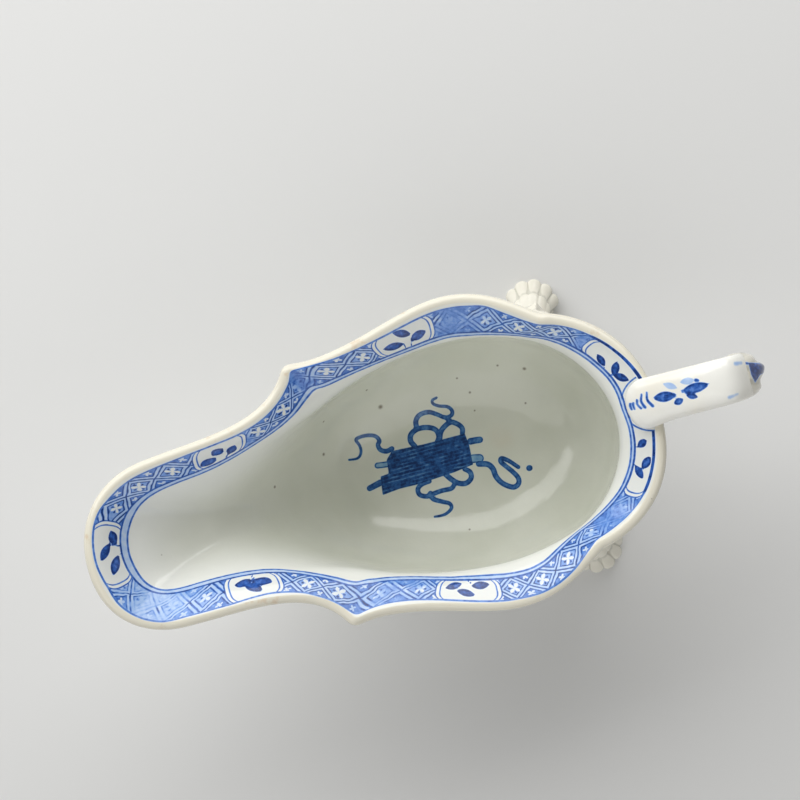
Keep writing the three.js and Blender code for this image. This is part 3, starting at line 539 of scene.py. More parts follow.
body = thrown(
    "sauceboat_body",
    body_grid.reshape(-1, 3)[used],
    quads_of(numbers),
    {
        "depth": at_points(depth),
        "line": at_points(on_inside((inner_line - depth)[band_rows], band_rows, -9)),
        "rim_line": at_points(on_inside((depth - lip_line)[band_rows], band_rows, -9)),
        "panel": at_points(on_inside(in_panel[band_rows], band_rows, -9)),
        "leaf": at_points(on_inside(panel_marks, flare_rows, -9)),
        "root": at_points(on_inside(root_away, flare_rows, 9)),
        "ribbon": at_points(on_inside(stroke_field(well_x, well_y, RIBBONS), well_rows, -9)),
        "scroll_end": at_points(on_inside(stroke_field(well_x, well_y, SCROLL_ENDS), well_rows, -9)),
        "bundle": at_points(on_inside(patch_field(well_x, well_y, BUNDLE), well_rows, -9)),
        "spray_u": at_points(spray_u),
        "spray_v": at_points(on_inside(spray_v, outside_rows, 99)),
        "spray_near": at_points((np.abs(spray_u) < 15).astype(float)),
        "pitch": at_points(pitch),
        "height": at_points(trellis_end - lip_line),
        "smudged": at_points(smudged),
        "smudge_load": at_points(smudge_load),
        "heavy": at_points(heavy),
    },
    {"cells": cells_map.reshape(-1, 4, 2)},
)


# Small tools of the shader: each adds nodes to a tree and gives back a socket
def put(tree, kind, feeds=None, **settings):
    """Adds a node, sets its fields, and feeds its inputs, by name or number, with sockets or values."""
    made = tree.nodes.new(kind)
    for key, value in settings.items():
        setattr(made, key, value)
    for key, value in (feeds or {}).items():
        if isinstance(value, bpy.types.NodeSocket):
            tree.links.new(value, made.inputs[key])
        else:
            made.inputs[key].default_value = value
    return made


def reckon(tree, operation, a, b=0.0, c=0.0):
    """One Math node."""
    return put(tree, "ShaderNodeMath", {0: a, 1: b, 2: c}, operation=operation).outputs[0]


def turned(tree, operation, a, b=(0, 0, 0), result="Vector"):
    """One Vector Math node."""
    return put(tree, "ShaderNodeVectorMath", {0: a, 1: b}, operation=operation).outputs[result]


def times(tree, a, b):
    """a times b."""
    return reckon(tree, "MULTIPLY", a, b)


def plus(tree, a, b):
    """a and b together."""
    return reckon(tree, "ADD", a, b)


def minus(tree, a, b):
    """a less b."""
    return reckon(tree, "SUBTRACT", a, b)


def size_of(tree, value):
    """A value without its sign."""
    return reckon(tree, "ABSOLUTE", value)


def most_of(tree, *values):
    """The largest of several values."""
    most = values[0]
    for value in values[1:]:
        most = reckon(tree, "MAXIMUM", most, value)
    return most


def length_of(tree, x, y):
    """Distance from the middle: the root of x^2 + y^2."""
    return reckon(tree, "SQRT", plus(tree, times(tree, x, x), times(tree, y, y)))


def ramp_up(tree, value, low, high, start=0.0, end=1.0):
    """Goes smoothly from start at low to end at high."""
    feeds = {"Value": value, "From Min": low, "From Max": high, "To Min": start, "To Max": end}
    return put(tree, "ShaderNodeMapRange", feeds, interpolation_type="SMOOTHSTEP").outputs["Result"]


def brush_line(tree, away, near, far, load):
    """A brushed line: its load as far as near from its middle, and falling to nothing at far."""
    return ramp_up(tree, size_of(tree, away), near, far, load, 0.0)


def blend_of(tree, share, a, b):
    """A value or a colour on the way from a to b."""
    coloured = any(isinstance(value, tuple) or getattr(value, "type", "") == "RGBA" for value in (a, b))
    made = put(tree, "ShaderNodeMix", {"Factor": share}, data_type="RGBA" if coloured else "FLOAT")
    for slot, value in zip((6, 7) if coloured else (2, 3), (a, b)):
        if isinstance(value, bpy.types.NodeSocket):
            tree.links.new(value, made.inputs[slot])
        else:
            made.inputs[slot].default_value = (*value, 1) if coloured else value
    return made.outputs[2 if coloured else 0]


def noise_at(tree, place, size, detail=2.0, roughness=0.5, result="Fac"):
    """Cloudy noise, 0 to 1, with clouds a given number of millimetres across."""
    feeds = {"Vector": place, "Scale": 1.0 / size, "Detail": detail, "Roughness": roughness}
    return put(tree, "ShaderNodeTexNoise", feeds).outputs[result]


def effect(name, inputs, outputs):
    """A new node group with its sockets; returns the group, its input node and its output node."""
    group = bpy.data.node_groups.new(name, "ShaderNodeTree")
    for key, kind, value in inputs:
        socket = group.interface.new_socket(key, in_out="INPUT", socket_type=kind)
        if value is not None:
            socket.default_value = value
    for key, kind in outputs:
        group.interface.new_socket(key, in_out="OUTPUT", socket_type=kind)
    return group, group.nodes.new("NodeGroupInput"), group.nodes.new("NodeGroupOutput")


FLOAT, COLOUR, VECTOR = "NodeSocketFloat", "NodeSocketColor", "NodeSocketVector"

# Glaze: a little uneven in tint and gloss, with the fine ripple of a fired surface and iron specks
CLOUD_SIZE = 24
RIPPLE_SIZE = 3.2
SPECK_PITCH = 9
SPECK_CHANCE = 0.62
glaze_skin, given, gives = effect(
    "glaze_skin",
    [("Place", VECTOR, None)],
    [("Cloud", FLOAT), ("Ripple", FLOAT), ("Speck", FLOAT), ("Roughness", FLOAT)],
)
g = glaze_skin
clouds = noise_at(g, given.outputs["Place"], CLOUD_SIZE, 3.0)
ripple = noise_at(g, given.outputs["Place"], RIPPLE_SIZE, 3.0, 0.55)
pits = put(g, "ShaderNodeTexVoronoi", {"Vector": given.outputs["Place"], "Scale": 1 / SPECK_PITCH})
chance = put(g, "ShaderNodeSeparateColor", {"Color": pits.outputs["Color"]}).outputs[0]
speck_size = ramp_up(g, chance, 0.6, 1.0, 0.0, 0.055)
speck = ramp_up(g, minus(g, speck_size, pits.outputs["Distance"]), -0.012, 0.012)
speck = times(g, speck, reckon(g, "GREATER_THAN", chance, SPECK_CHANCE))
gloss = ramp_up(g, clouds, 0.3, 0.7, 0.09, 0.14)
for key, socket in (("Cloud", clouds), ("Ripple", ripple), ("Speck", speck), ("Roughness", gloss)):
    glaze_skin.links.new(socket, gives.inputs[key])

# Cobalt under the glaze: what a brush load from 0 to 1 makes of the glaze's colour. Where the glaze
# lies thick it greens the blue
COBALT_WASH = (0.62, 0.72, 0.86)
COBALT_PALE = (0.39, 0.55, 0.83)
COBALT_MID = (0.135, 0.29, 0.70)
COBALT_FULL = (0.030, 0.115, 0.45)
COBALT_DARK = (0.011, 0.036, 0.17)
THICK_TINT = (0.85, 0.98, 0.78)
cobalt, given, gives = effect(
    "cobalt_under_glaze",
    [("Glaze", COLOUR, None), ("Load", FLOAT, 0.0), ("Place", VECTOR, None), ("Thick", FLOAT, 0.0)],
    [("Colour", COLOUR)],
)
uneven = noise_at(cobalt, given.outputs["Place"], 1.5, 3.0, 0.6)
load = times(cobalt, given.outputs["Load"], ramp_up(cobalt, uneven, 0.25, 0.75, 0.74, 1.22))
blues = put(cobalt, "ShaderNodeValToRGB", {"Fac": load})
blues.color_ramp.elements[0].color = (*COBALT_WASH, 1)
blues.color_ramp.elements[1].color = (*COBALT_DARK, 1)
for at, tint in ((0.2, COBALT_PALE), (0.45, COBALT_MID), (0.72, COBALT_FULL)):
    blues.color_ramp.elements.new(at).color = (*tint, 1)
thick = put(
    cobalt,
    "ShaderNodeMix",
    {"Factor": given.outputs["Thick"], 6: blues.outputs["Color"], 7: (*THICK_TINT, 1)},
    data_type="RGBA",
    blend_type="MULTIPLY",
).outputs[2]
dyed = blend_of(cobalt, ramp_up(cobalt, load, 0.0, 0.16), given.outputs["Glaze"], thick)
cobalt.links.new(dyed, gives.inputs["Colour"])

# Trellis: a flower in every diamond, double lines between the diamonds, half flowers along the edges.
# A cell is one diamond long, and the share runs from 0 at the lip's line to 1 at the trellis's end
MIDDLE_LINE, THIN_LINE, PALE_LINE = 0.98, 0.92, 0.13
GROUND_INSIDE, GROUND_OUTSIDE = 0.38, 0.6
SEED_LOAD, SEED_RING = 0.98, 1.45
# Flowers: how far their petals reach past the core, the core, and the wash inside; half flowers as well,
# which stand in rows by the edges
FLOWER_REACH, FLOWER_CORE, FLOWER_WASH = 1.75, 0.35, 0.02
HALF_REACH, HALF_CORE, HALF_WASH = 0.85, 0.3, 0.06
HALF_ROW = 0.4
trellis, given, gives = effect(
    "trellis_diaper",
    [("Cell", FLOAT, 0.0), ("Share", FLOAT, 0.0), ("Pitch", FLOAT, 10.0), ("Height", FLOAT, 7.0),
     ("Wander", FLOAT, 0.5)],
    [("Load", FLOAT)],
)
t = trellis


def four_petals(x, y):
    """|sin| of twice the angle: 1 along the diagonals, where the petals are, and 0 between them."""
    return size_of(t, reckon(t, "SINE", times(t, reckon(t, "ARCTAN2", y, x), 2.0)))


wander = times(t, minus(t, given.outputs["Wander"], 0.5), 0.16)
du = minus(t, reckon(t, "FRACT", plus(t, given.outputs["Cell"], wander)), 0.5)
dv = plus(t, minus(t, given.outputs["Share"], 0.5), times(t, wander, 0.6))
diamond = times(t, plus(t, size_of(t, du), size_of(t, dv)), 2.0)
from_line = size_of(t, minus(t, diamond, 1.0))
middle_line = ramp_up(t, from_line, 0.03, 0.1, MIDDLE_LINE, 0.0)
pale_line = times(t, ramp_up(t, from_line, 0.07, 0.12), ramp_up(t, from_line, 0.24, 0.3, 1.0, 0.0))
thin_line = times(t, ramp_up(t, from_line, 0.26, 0.31), ramp_up(t, from_line, 0.38, 0.44, 1.0, 0.0))
ground = ramp_up(t, diamond, 0.98, 1.02, GROUND_INSIDE, GROUND_OUTSIDE)
x, y = times(t, du, given.outputs["Pitch"]), times(t, dv, given.outputs["Height"])
away, petals = length_of(t, x, y), four_petals(x, y)
flower_edge = reckon(t, "MULTIPLY_ADD", reckon(t, "POWER", petals, 1.5), FLOWER_REACH, FLOWER_CORE)
flower = ramp_up(t, minus(t, flower_edge, away), -0.12, 0.16)
seeds = ramp_up(t, petals, 0.25, 0.6, 1.0, 0.0)
seeds = times(t, seeds, brush_line(t, minus(t, away, SEED_RING), 0.3, 0.6, 1.0))
half_x = times(t, minus(t, size_of(t, du), 0.5), given.outputs["Pitch"])
half_y = times(t, minus(t, size_of(t, dv), HALF_ROW), given.outputs["Height"])
half_edge = reckon(t, "MULTIPLY_ADD", four_petals(half_x, half_y), HALF_REACH, HALF_CORE)
half_flower = ramp_up(t, minus(t, half_edge, length_of(t, half_x, half_y)), -0.1, 0.15)
load = blend_of(t, pale_line, ground, PALE_LINE)
load = most_of(t, load, times(t, thin_line, THIN_LINE), middle_line, times(t, seeds, SEED_LOAD))
load = blend_of(t, flower, load, FLOWER_WASH)
load = blend_of(t, half_flower, load, HALF_WASH)
trellis.links.new(load, gives.inputs["Load"])

# How strongly the glaze bends light, and how deep its ripple is in metres
GLAZE_BEND, RIPPLE_DEPTH = 1.5, 0.0006


def glazed(name):
    """A new glazed material: its tree, its shader, its place in mm and its uneven skin."""
    material = bpy.data.materials.new(name)
    material.use_nodes = True
    tree = material.node_tree
    shader = tree.nodes["Principled BSDF"]
    shader.inputs["IOR"].default_value = GLAZE_BEND
    where = put(tree, "ShaderNodeTexCoord").outputs["Object"]
    place = put(tree, "ShaderNodeMapping", {"Vector": where, "Scale": (1000, 1000, 1000)}).outputs[0]
    skin = put(tree, "ShaderNodeGroup", {"Place": place}, node_tree=glaze_skin)
    tree.links.new(skin.outputs["Roughness"], shader.inputs["Roughness"])
    return material, tree, shader, place, skin


def painted_on(tree, ground, load, place, thick=0.0):
    """The glaze's colour over cobalt laid on with a load."""
    feeds = {"Glaze": ground, "Load": load, "Place": place, "Thick": thick}
    return put(tree, "ShaderNodeGroup", feeds, node_tree=cobalt).outputs["Colour"]


def read(tree, name):
    """A field kept at the points of a piece."""
    return put(tree, "ShaderNodeAttribute", attribute_name=name).outputs["Fac"]


body_glaze, tree, shader, place, skin = glazed("body_glaze")
deep = read(tree, "depth")
height = read(tree, "height")
cell_map = put(tree, "ShaderNodeUVMap", uv_map="cells").outputs[0]
cell, share = put(tree, "ShaderNodeSeparateXYZ", {0: cell_map}).outputs[:2]
wobble = noise_at(tree, place, 3.5, 1.0)
edge_wobble = times(tree, minus(tree, noise_at(tree, place, 6, 2.0), 0.5), 0.5)
feeds = {"Cell": cell, "Share": share, "Pitch": read(tree, "pitch"), "Height": height, "Wander": wobble}
weave = put(tree, "ShaderNodeGroup", feeds, node_tree=trellis)
# How far the run blue hides the trellis: a little all over, most where it is smudged, nowhere all of it
SMUDGE_ALL_OVER, SMUDGE_THERE, SMUDGE_MOST = 0.1, 0.9, 0.88
smudge_cloud = ramp_up(tree, noise_at(tree, place, 5, 2.0), 0.3, 0.56)
smudge = plus(tree, times(tree, read(tree, "smudged"), SMUDGE_THERE), SMUDGE_ALL_OVER)
smudge = reckon(tree, "MINIMUM", times(tree, smudge, smudge_cloud), SMUDGE_MOST)
band_load = blend_of(tree, smudge, weave.outputs["Load"], read(tree, "smudge_load"))

# Panels: white, with two lines round each end
PANEL_GROUND, END_LINE, SECOND_LINE = 0.03, 0.66, 0.7
SECOND_LINE_OUT = 1.4
panel = plus(tree, read(tree, "panel"), edge_wobble)
end_line = brush_line(tree, panel, 0.12, 0.34, END_LINE)
band_load = blend_of(tree, ramp_up(tree, panel, -1.35, -1.15), band_load, PANEL_GROUND)
second_line = brush_line(tree, plus(tree, panel, SECOND_LINE_OUT), 0.14, 0.34, SECOND_LINE)
band_load = most_of(tree, band_load, end_line, second_line)

# The band's own lines: one along the lip, heavier at the back, one at the trellis's edge and one inside a
# pale strip. The line round the handle's root parts the trellis
LIP_LINE_HALF, LIP_LINE_LOAD = 0.32, 0.6
HEAVIER_HALF, HEAVIER_LOAD = 0.2, 0.3
ROOT_LINE, EDGE_LINE, INNER_LINE, PALE_STRIP = 0.62, 0.78, 0.66, 0.14
in_band = times(tree, ramp_up(tree, share, 0.0, 0.04), ramp_up(tree, share, 0.97, 1.0, 1.0, 0.0))
heavier = read(tree, "heavy")
lip_paint_half = reckon(tree, "MULTIPLY_ADD", heavier, HEAVIER_HALF, LIP_LINE_HALF)
lip_paint_load = reckon(tree, "MULTIPLY_ADD", heavier, HEAVIER_LOAD, LIP_LINE_LOAD)
past_lip_paint = minus(tree, size_of(tree, read(tree, "rim_line")), lip_paint_half)
lip_paint = times(tree, ramp_up(tree, past_lip_paint, -0.15, 0.15, 1.0, 0.0), lip_paint_load)
root = read(tree, "root")
band_load = most_of(tree, times(tree, band_load, in_band), lip_paint)
band_load = times(tree, band_load, ramp_up(tree, root, 0.0, 0.2))
root_paint = brush_line(tree, root, 0.12, 0.34, ROOT_LINE)
root_paint = times(tree, root_paint, ramp_up(tree, share, 1.0, 1.1, 1.0, 0.0))
line_at = plus(tree, read(tree, "line"), times(tree, edge_wobble, 0.5))
inner_paint = brush_line(tree, minus(tree, line_at, 0.15), 0.2, 0.5, INNER_LINE)
from_edge = minus(tree, times(tree, share, height), minus(tree, height, 0.1))
edge_paint = brush_line(tree, from_edge, 0.22, 0.52, EDGE_LINE)
pale_strip = times(tree, ramp_up(tree, share, 1.0, 1.04), ramp_up(tree, line_at, 0.2, 0.35))
pale_strip = times(tree, pale_strip, PALE_STRIP)
band_load = most_of(tree, band_load, root_paint, edge_paint, inner_paint, pale_strip)
PANEL_LEAF_EDGE, PANEL_LEAF_MIDDLE = 0.98, 0.8
leaf = read(tree, "leaf")
leaf_load = blend_of(tree, ramp_up(tree, leaf, 0.1, 0.9), PANEL_LEAF_EDGE, PANEL_LEAF_MIDDLE)
band_load = blend_of(tree, ramp_up(tree, leaf, -0.28, -0.04), band_load, leaf_load)

# The bundle in the well: dark strokes along it, darkest at its edge, with its ribbons and scroll ends
HATCH_TURN, HATCH_WANDER = 5.6, 3.0
BUNDLE_LOAD, BUNDLE_EDGE = 0.9, 0.98
RIBBON_EDGE, RIBBON_MIDDLE = 0.86, 0.7
SCROLL_EDGE, SCROLL_WASH = 0.78, 0.35
across_bundle = put(tree, "ShaderNodeSeparateXYZ", {0: place}).outputs[1]
hatch_shift = times(tree, noise_at(tree, place, 4, 2.0), HATCH_WANDER)
hatch_run = plus(tree, times(tree, across_bundle, HATCH_TURN), hatch_shift)
hatch_pale = ramp_up(tree, reckon(tree, "SINE", hatch_run), 0.0, 0.9)
thin_wash = ramp_up(tree, noise_at(tree, place, 5, 2.0), 0.4, 0.6, 0.08, 0.3)
bundle, ribbon, scroll_end = (read(tree, name) for name in ("bundle", "ribbon", "scroll_end"))
bundle_load = minus(tree, BUNDLE_LOAD, times(tree, hatch_pale, thin_wash))
bundle_load = most_of(tree, bundle_load, ramp_up(tree, bundle, 0.1, 0.7, BUNDLE_EDGE, 0.0))
ribbon_load = blend_of(tree, ramp_up(tree, ribbon, 0.1, 0.5), RIBBON_EDGE, RIBBON_MIDDLE)
scroll_load = blend_of(tree, ramp_up(tree, scroll_end, 0.25, 0.5), SCROLL_EDGE, SCROLL_WASH)
well_load = most_of(
    tree,
    times(tree, ramp_up(tree, ribbon, -0.14, 0.1), ribbon_load),
    times(tree, ramp_up(tree, scroll_end, -0.1, 0.1), scroll_load),
    times(tree, ramp_up(tree, bundle, -0.15, 0.12), bundle_load),
)

# Outside: two lines under the lip, by how far past its inner edge they run and their load, and the sprays
UNDER_LIP, UNDER_LIP_LOAD = 7.6, 0.62
UNDER_LINE, UNDER_LINE_LOAD = 9.0, 0.5
under_lip = brush_line(tree, plus(tree, deep, UNDER_LIP), 0.18, 0.4, UNDER_LIP_LOAD)
under_line = brush_line(tree, plus(tree, deep, UNDER_LINE), 0.1, 0.28, UNDER_LINE_LOAD)
spray_feeds = {0: read(tree, "spray_u"), 1: read(tree, "spray_v")}
on_spray = put(tree, "ShaderNodeCombineXYZ", spray_feeds).outputs[0]
spray_wobble = noise_at(tree, place, 3, 1.0, result="Color")
on_spray = turned(tree, "ADD", on_spray, turned(tree, "SUBTRACT", spray_wobble, (0.5, 0.5, 0.5)))


def brushed_leaf(tree, spot, start, end, width):
    """How far inside a leaf of the spray a spot is: half its width times 1 - (along / half length)^2,
    less the distance from its middle line."""
    start, end = np.array([*start, 0.0]), np.array([*end, 0.0])
    length = np.linalg.norm(end - start)
    ahead = (end - start) / length
    from_middle = turned(tree, "SUBTRACT", spot, (start + end) / 2)
    along = turned(tree, "DOT_PRODUCT", from_middle, ahead * 2 / length, "Value")
    aside = turned(tree, "DOT_PRODUCT", from_middle, (-ahead[1], ahead[0], 0), "Value")
    fullness = reckon(tree, "MULTIPLY_ADD", times(tree, along, along), -width / 2, width / 2)
    return minus(tree, fullness, size_of(tree, aside))


# Leaves and stems of a spray, in its own millimetres: both ends, and the width
SPRAY_LEAVES = [
    ((0.6, -1.6), (3.6, -5.8), 2.3), ((-2.0, -2.6), (-1.6, -7.6), 2.2), ((-4.4, -3.4), (-9.8, -5.2), 2.2),
    ((-3.6, -3.0), (-7.0, 1.4), 2.3), ((-0.6, -1.6), (-2.0, 3.6), 2.3), ((3.4, 0.2), (8.2, -2.4), 2.1),
    ((-9.2, -0.8), (-12.0, 0.6), 1.5),
]
SPRAY_STEMS = [
    ((-8.0, -4.6), (-1.0, -2.4), 0.55), ((-1.6, -2.6), (5.0, 2.0), 0.6), ((-5.0, -3.6), (-9.6, -0.8), 0.4),
]
SPRAY_EDGE, SPRAY_WASH, SPRAY_STEM = 0.84, 0.5, 0.7
spray_leaf = most_of(tree, *[brushed_leaf(tree, on_spray, *row) for row in SPRAY_LEAVES])
spray_stem = most_of(tree, *[brushed_leaf(tree, on_spray, *row) for row in SPRAY_STEMS])
leaf_wash = ramp_up(tree, spray_leaf, 0.2, 0.9, SPRAY_EDGE, SPRAY_WASH)
spray_load = times(tree, ramp_up(tree, spray_leaf, -0.12, 0.12), leaf_wash)
spray_load = most_of(tree, spray_load, ramp_up(tree, spray_stem, -0.12, 0.12, 0.0, SPRAY_STEM))
# Its blossom: five petals with a dark edge, a pale wash inside, and a dark eye
BLOSSOM_AT = (6.0, 3.4, 0)
BLOSSOM_CORE, BLOSSOM_REACH = 1.7, 1.3
BLOSSOM_EDGE, BLOSSOM_WASH, BLOSSOM_EYE = 0.72, 0.2, 0.85
from_blossom = turned(tree, "SUBTRACT", on_spray, BLOSSOM_AT)
petal_x, petal_y = put(tree, "ShaderNodeSeparateXYZ", {0: from_blossom}).outputs[:2]
petal_turn = times(tree, reckon(tree, "ARCTAN2", petal_y, petal_x), 2.5)
petal_round = reckon(tree, "SQRT", size_of(tree, reckon(tree, "COSINE", petal_turn)))
petal_reach = reckon(tree, "MULTIPLY_ADD", petal_round, BLOSSOM_REACH, BLOSSOM_CORE)
petal_away = turned(tree, "LENGTH", from_blossom, result="Value")
in_blossom = minus(tree, petal_reach, petal_away)
blossom = ramp_up(tree, in_blossom, 0.25, 0.7, BLOSSOM_EDGE, BLOSSOM_WASH)
blossom = most_of(tree, blossom, ramp_up(tree, petal_away, 0.5, 0.85, BLOSSOM_EYE, 0.0))
spray_load = blend_of(tree, ramp_up(tree, in_blossom, -0.1, 0.12), spray_load, blossom)
spray_load = times(tree, spray_load, read(tree, "spray_near"))
paint_load = most_of(tree, band_load, well_load, under_lip, under_line, spray_load)

# The glaze: greyish green white, creamy and bare on the lip, where it is stained tan in places. Its
# pale tone darkens down the well, from 12 to 38 mm below the lip, as painted shade of the deep bowl
BODY_PALE = (0.83, 0.835, 0.785)
BODY_WHITE = (0.755, 0.765, 0.68)
BODY_SHADE = (0.68, 0.695, 0.60)
LIP_CREAM = (0.78, 0.745, 0.625)
LIP_TAN = (0.66, 0.50, 0.33)
SPECK_BROWN = (0.16, 0.13, 0.09)
ground_colour = blend_of(tree, ramp_up(tree, skin.outputs["Cloud"], 0.3, 0.75), BODY_WHITE, BODY_SHADE)
# Painted shade: down the well the colour darkens from the pale tone to the plain white
ground_colour = blend_of(tree, ramp_up(tree, deep, 12, 38, 0.85, 0.0), ground_colour, BODY_PALE)
on_lip = times(tree, ramp_up(tree, deep, -0.5, 0.0, 1.0, 0.0), ramp_up(tree, deep, -7.0, -6.0))
LIP_STAIN = 0.55
stain = times(tree, ramp_up(tree, noise_at(tree, place, 7, 4.0, 0.65), 0.6, 0.72), LIP_STAIN)
ground_colour = blend_of(tree, on_lip, ground_colour, blend_of(tree, stain, LIP_CREAM, LIP_TAN))
colour = painted_on(tree, ground_colour, paint_load, place, ramp_up(tree, deep, 12, 22))


def spot_at(tree, place, middle, near, far, strength):
    """A round spot: its strength as far as near from its middle, and falling to nothing at far."""
    away = turned(tree, "DISTANCE", place, placed(np.array(middle)) * 1000, "Value")
    return ramp_up(tree, away, near, far, strength, 0.0)


def finished(tree, shader, skin, colour, burnt, ripple):
    """Feeds the shader: a colour burnt brown at the iron specks, and the glaze's ripple as its bump."""
    tree.links.new(blend_of(tree, burnt, colour, SPECK_BROWN), shader.inputs["Base Color"])
    feeds = {"Height": skin.outputs["Ripple"], "Strength": ripple, "Distance": RIPPLE_DEPTH}
    tree.links.new(put(tree, "ShaderNodeBump", feeds).outputs[0], shader.inputs["Normal"])


# Iron specks burnt through the glaze of the well, by place and size, and a faint rusty stain
SPECKS = [
    (-12.9, 20.2, 26.5, 0.75), (-33.7, 10.6, 31.2, 0.5), (-30.9, 20.4, 37.2, 0.4), (25.7, 23.2, 27.1, 0.4),
    (33.5, 20.0, 27.4, 0.6), (15.3, 17.3, 23.3, 0.4), (12.5, 22.6, 25.1, 0.35), (31.3, 9.5, 22.7, 0.35),
    (15.3, 11.4, 22.2, 0.3), (4.0, -24.0, 25.8, 0.35), (-15.6, 26.3, 33.6, 0.4),
]
STAIN = (21.5, 1.3, 21.4)
BODY_SPECKS, BODY_RIPPLE = 0.7, 0.12
burnt = [spot_at(tree, place, row[:3], row[3] * 0.2, row[3] * 1.5, 1.2) for row in SPECKS]
burnt = times(tree, most_of(tree, skin.outputs["Speck"], *burnt), BODY_SPECKS)
rust = ramp_up(tree, skin.outputs["Cloud"], 0.2, 0.6)
rust = times(tree, spot_at(tree, place, STAIN, 1.0, 6.0, 0.22), rust)
finished(tree, shader, skin, blend_of(tree, rust, colour, LIP_TAN), burnt, BODY_RIPPLE)

body.data.materials.append(body_glaze)
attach(body, "root")
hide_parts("body")

# Handle.
# A strap of clay rolled out and bent: it springs from inside the back rim, rises over the bend and
# comes down to the lower body, where it is luted on with slip. Brushed leaves run along its flat top.

# Middle line of the strap from its root to its foot: x and z
SPINE = [
    (56.66, 77.15), (65.29, 83.34), (77.14, 91.12), (85.67, 93.5), (90.17, 86.5), (88.99, 73.52),
    (78.32, 54.65), (62.16, 36.26), (54.37, 38.5),
]
STRAP_WIDTH = 13.7
STRAP_FOOT_WIDTH = 10.5
STRAP_THICKNESS = 7.0
STRAP_SIDES = 104
HANDLE_ASIDE = 1.7
ROOT_PRESSED = 1.7


def spine_curve(points, count):
    """A line through points in the upright plane, each stretch a cubic whose leanings allow for the
    square roots of the distances, read off evenly."""
    p = np.array(points, dtype=float)
    p = np.vstack([2 * p[0] - p[1], p, 2 * p[-1] - p[-2]])
    parts = []
    t = np.linspace(0, 1, 200, endpoint=False)[:, None]
    for a, b, c, d in zip(p[:-3], p[1:-2], p[2:-1], p[3:]):
        before, here, after = (np.sqrt(np.linalg.norm(v)) for v in (b - a, c - b, d - c))
        lean_in = ((b - a) / before - (c - a) / (before + here) + (c - b) / here) * here
        lean_out = ((c - b) / here - (d - b) / (here + after) + (d - c) / after) * here
        parts.append(bezier(b, b + lean_in / 3, c - lean_out / 3, c, t))
    line = np.vstack(parts + [p[-2:-1]])
    return even_half(line, line, count)


def strap_frame(start, end, steps, rounded_ends=False):
    """Shares along the strap from start to end, with the middle line there and the way outwards."""
    fine = spine_curve(SPINE, 4001)
    t = np.linspace(0, 1, steps)
    if rounded_ends:
        t = 0.5 - 0.5 * np.cos(t * math.pi)
    shares = start + (end - start) * t
    at = shares * 4000
    middle = np.stack([np.interp(at, np.arange(4001), fine[:, k]) for k in (0, 1)], axis=1)
    lean = np.gradient(fine, axis=0)
    ahead = unit(np.stack([np.interp(at, np.arange(4001), lean[:, k]) for k in (0, 1)], axis=1))
    middle = np.stack([middle[:, 0], np.full(steps, HANDLE_ASIDE), middle[:, 1]], axis=1)
    out = np.stack([-ahead[:, 1], np.zeros(steps), ahead[:, 0]], axis=1)
    return shares, middle, out


def strap_sizes(shares):
    """Half width and half thickness along the strap: tapering, and spread a little at its foot."""
    spread = 1 + 0.3 * np.exp(-((1 - shares) / 0.06) ** 2)
    half_width = (STRAP_WIDTH + (STRAP_FOOT_WIDTH - STRAP_WIDTH) * shares ** 2) / 2 * spread
    half_thickness = STRAP_THICKNESS * (1 - 0.2 * shares) / 2 * spread
    return half_width, half_thickness


def round_angles(count, start=0.0):
    """Angles that lie evenly round a ring."""
    return np.linspace(start, start + 2 * math.pi, count, endpoint=False)[None, :]


def squared_ring(middle, out, angles, half_width, half_thickness):
    """Rounded rectangles along a line: |cos|^0.8 to the side and |sin|^0.8 outwards."""
    side = np.sign(np.cos(angles)) * np.abs(np.cos(angles)) ** 0.8 * half_width
    lift = np.sign(np.sin(angles)) * np.abs(np.sin(angles)) ** 0.8 * half_thickness
    points = middle[:, None, :] + out[:, None, :] * lift[..., None]
    points[..., 1] += side
    return points


def closed_skin(name, grid, fields):
    """A closed piece from rings of points: the first and the last ring are drawn to one point each."""
    rows, columns = grid.shape[:2]
    first, last = grid[0].mean(axis=0), grid[-1].mean(axis=0)
    points = np.vstack([grid.reshape(-1, 3), first, last])
    numbers = np.arange(rows * columns).reshape(rows, columns)
    poles = np.full((1, columns), rows * columns)
    faces = quads_of(np.vstack([poles, numbers, poles + 1]))
    whole = {}
    for key, value in fields.items():
        whole[key] = np.append(value.reshape(-1), [value[0].mean(), value[-1].mean()])
    return thrown(name, points, faces, whole, {})


shares, middle, out = strap_frame(0.012, 1, 300)
half_width, half_thickness = strap_sizes(shares)
rounding = np.sqrt(1 - np.maximum(0, 1 - (shares - 0.006) / 0.06) ** 2)
strap_angles = round_angles(STRAP_SIDES)
# The root was pressed wider on the -Y side
pressed = ROOT_PRESSED * np.exp(-(shares / 0.09) ** 2) * np.sqrt(rounding)
strap_side = (half_width * rounding)[:, None] + pressed[:, None] * (np.cos(strap_angles) < 0)
strap_lift = (half_thickness * np.sqrt(rounding))[:, None]
strap_grid = squared_ring(middle, out, strap_angles, strap_side, strap_lift)

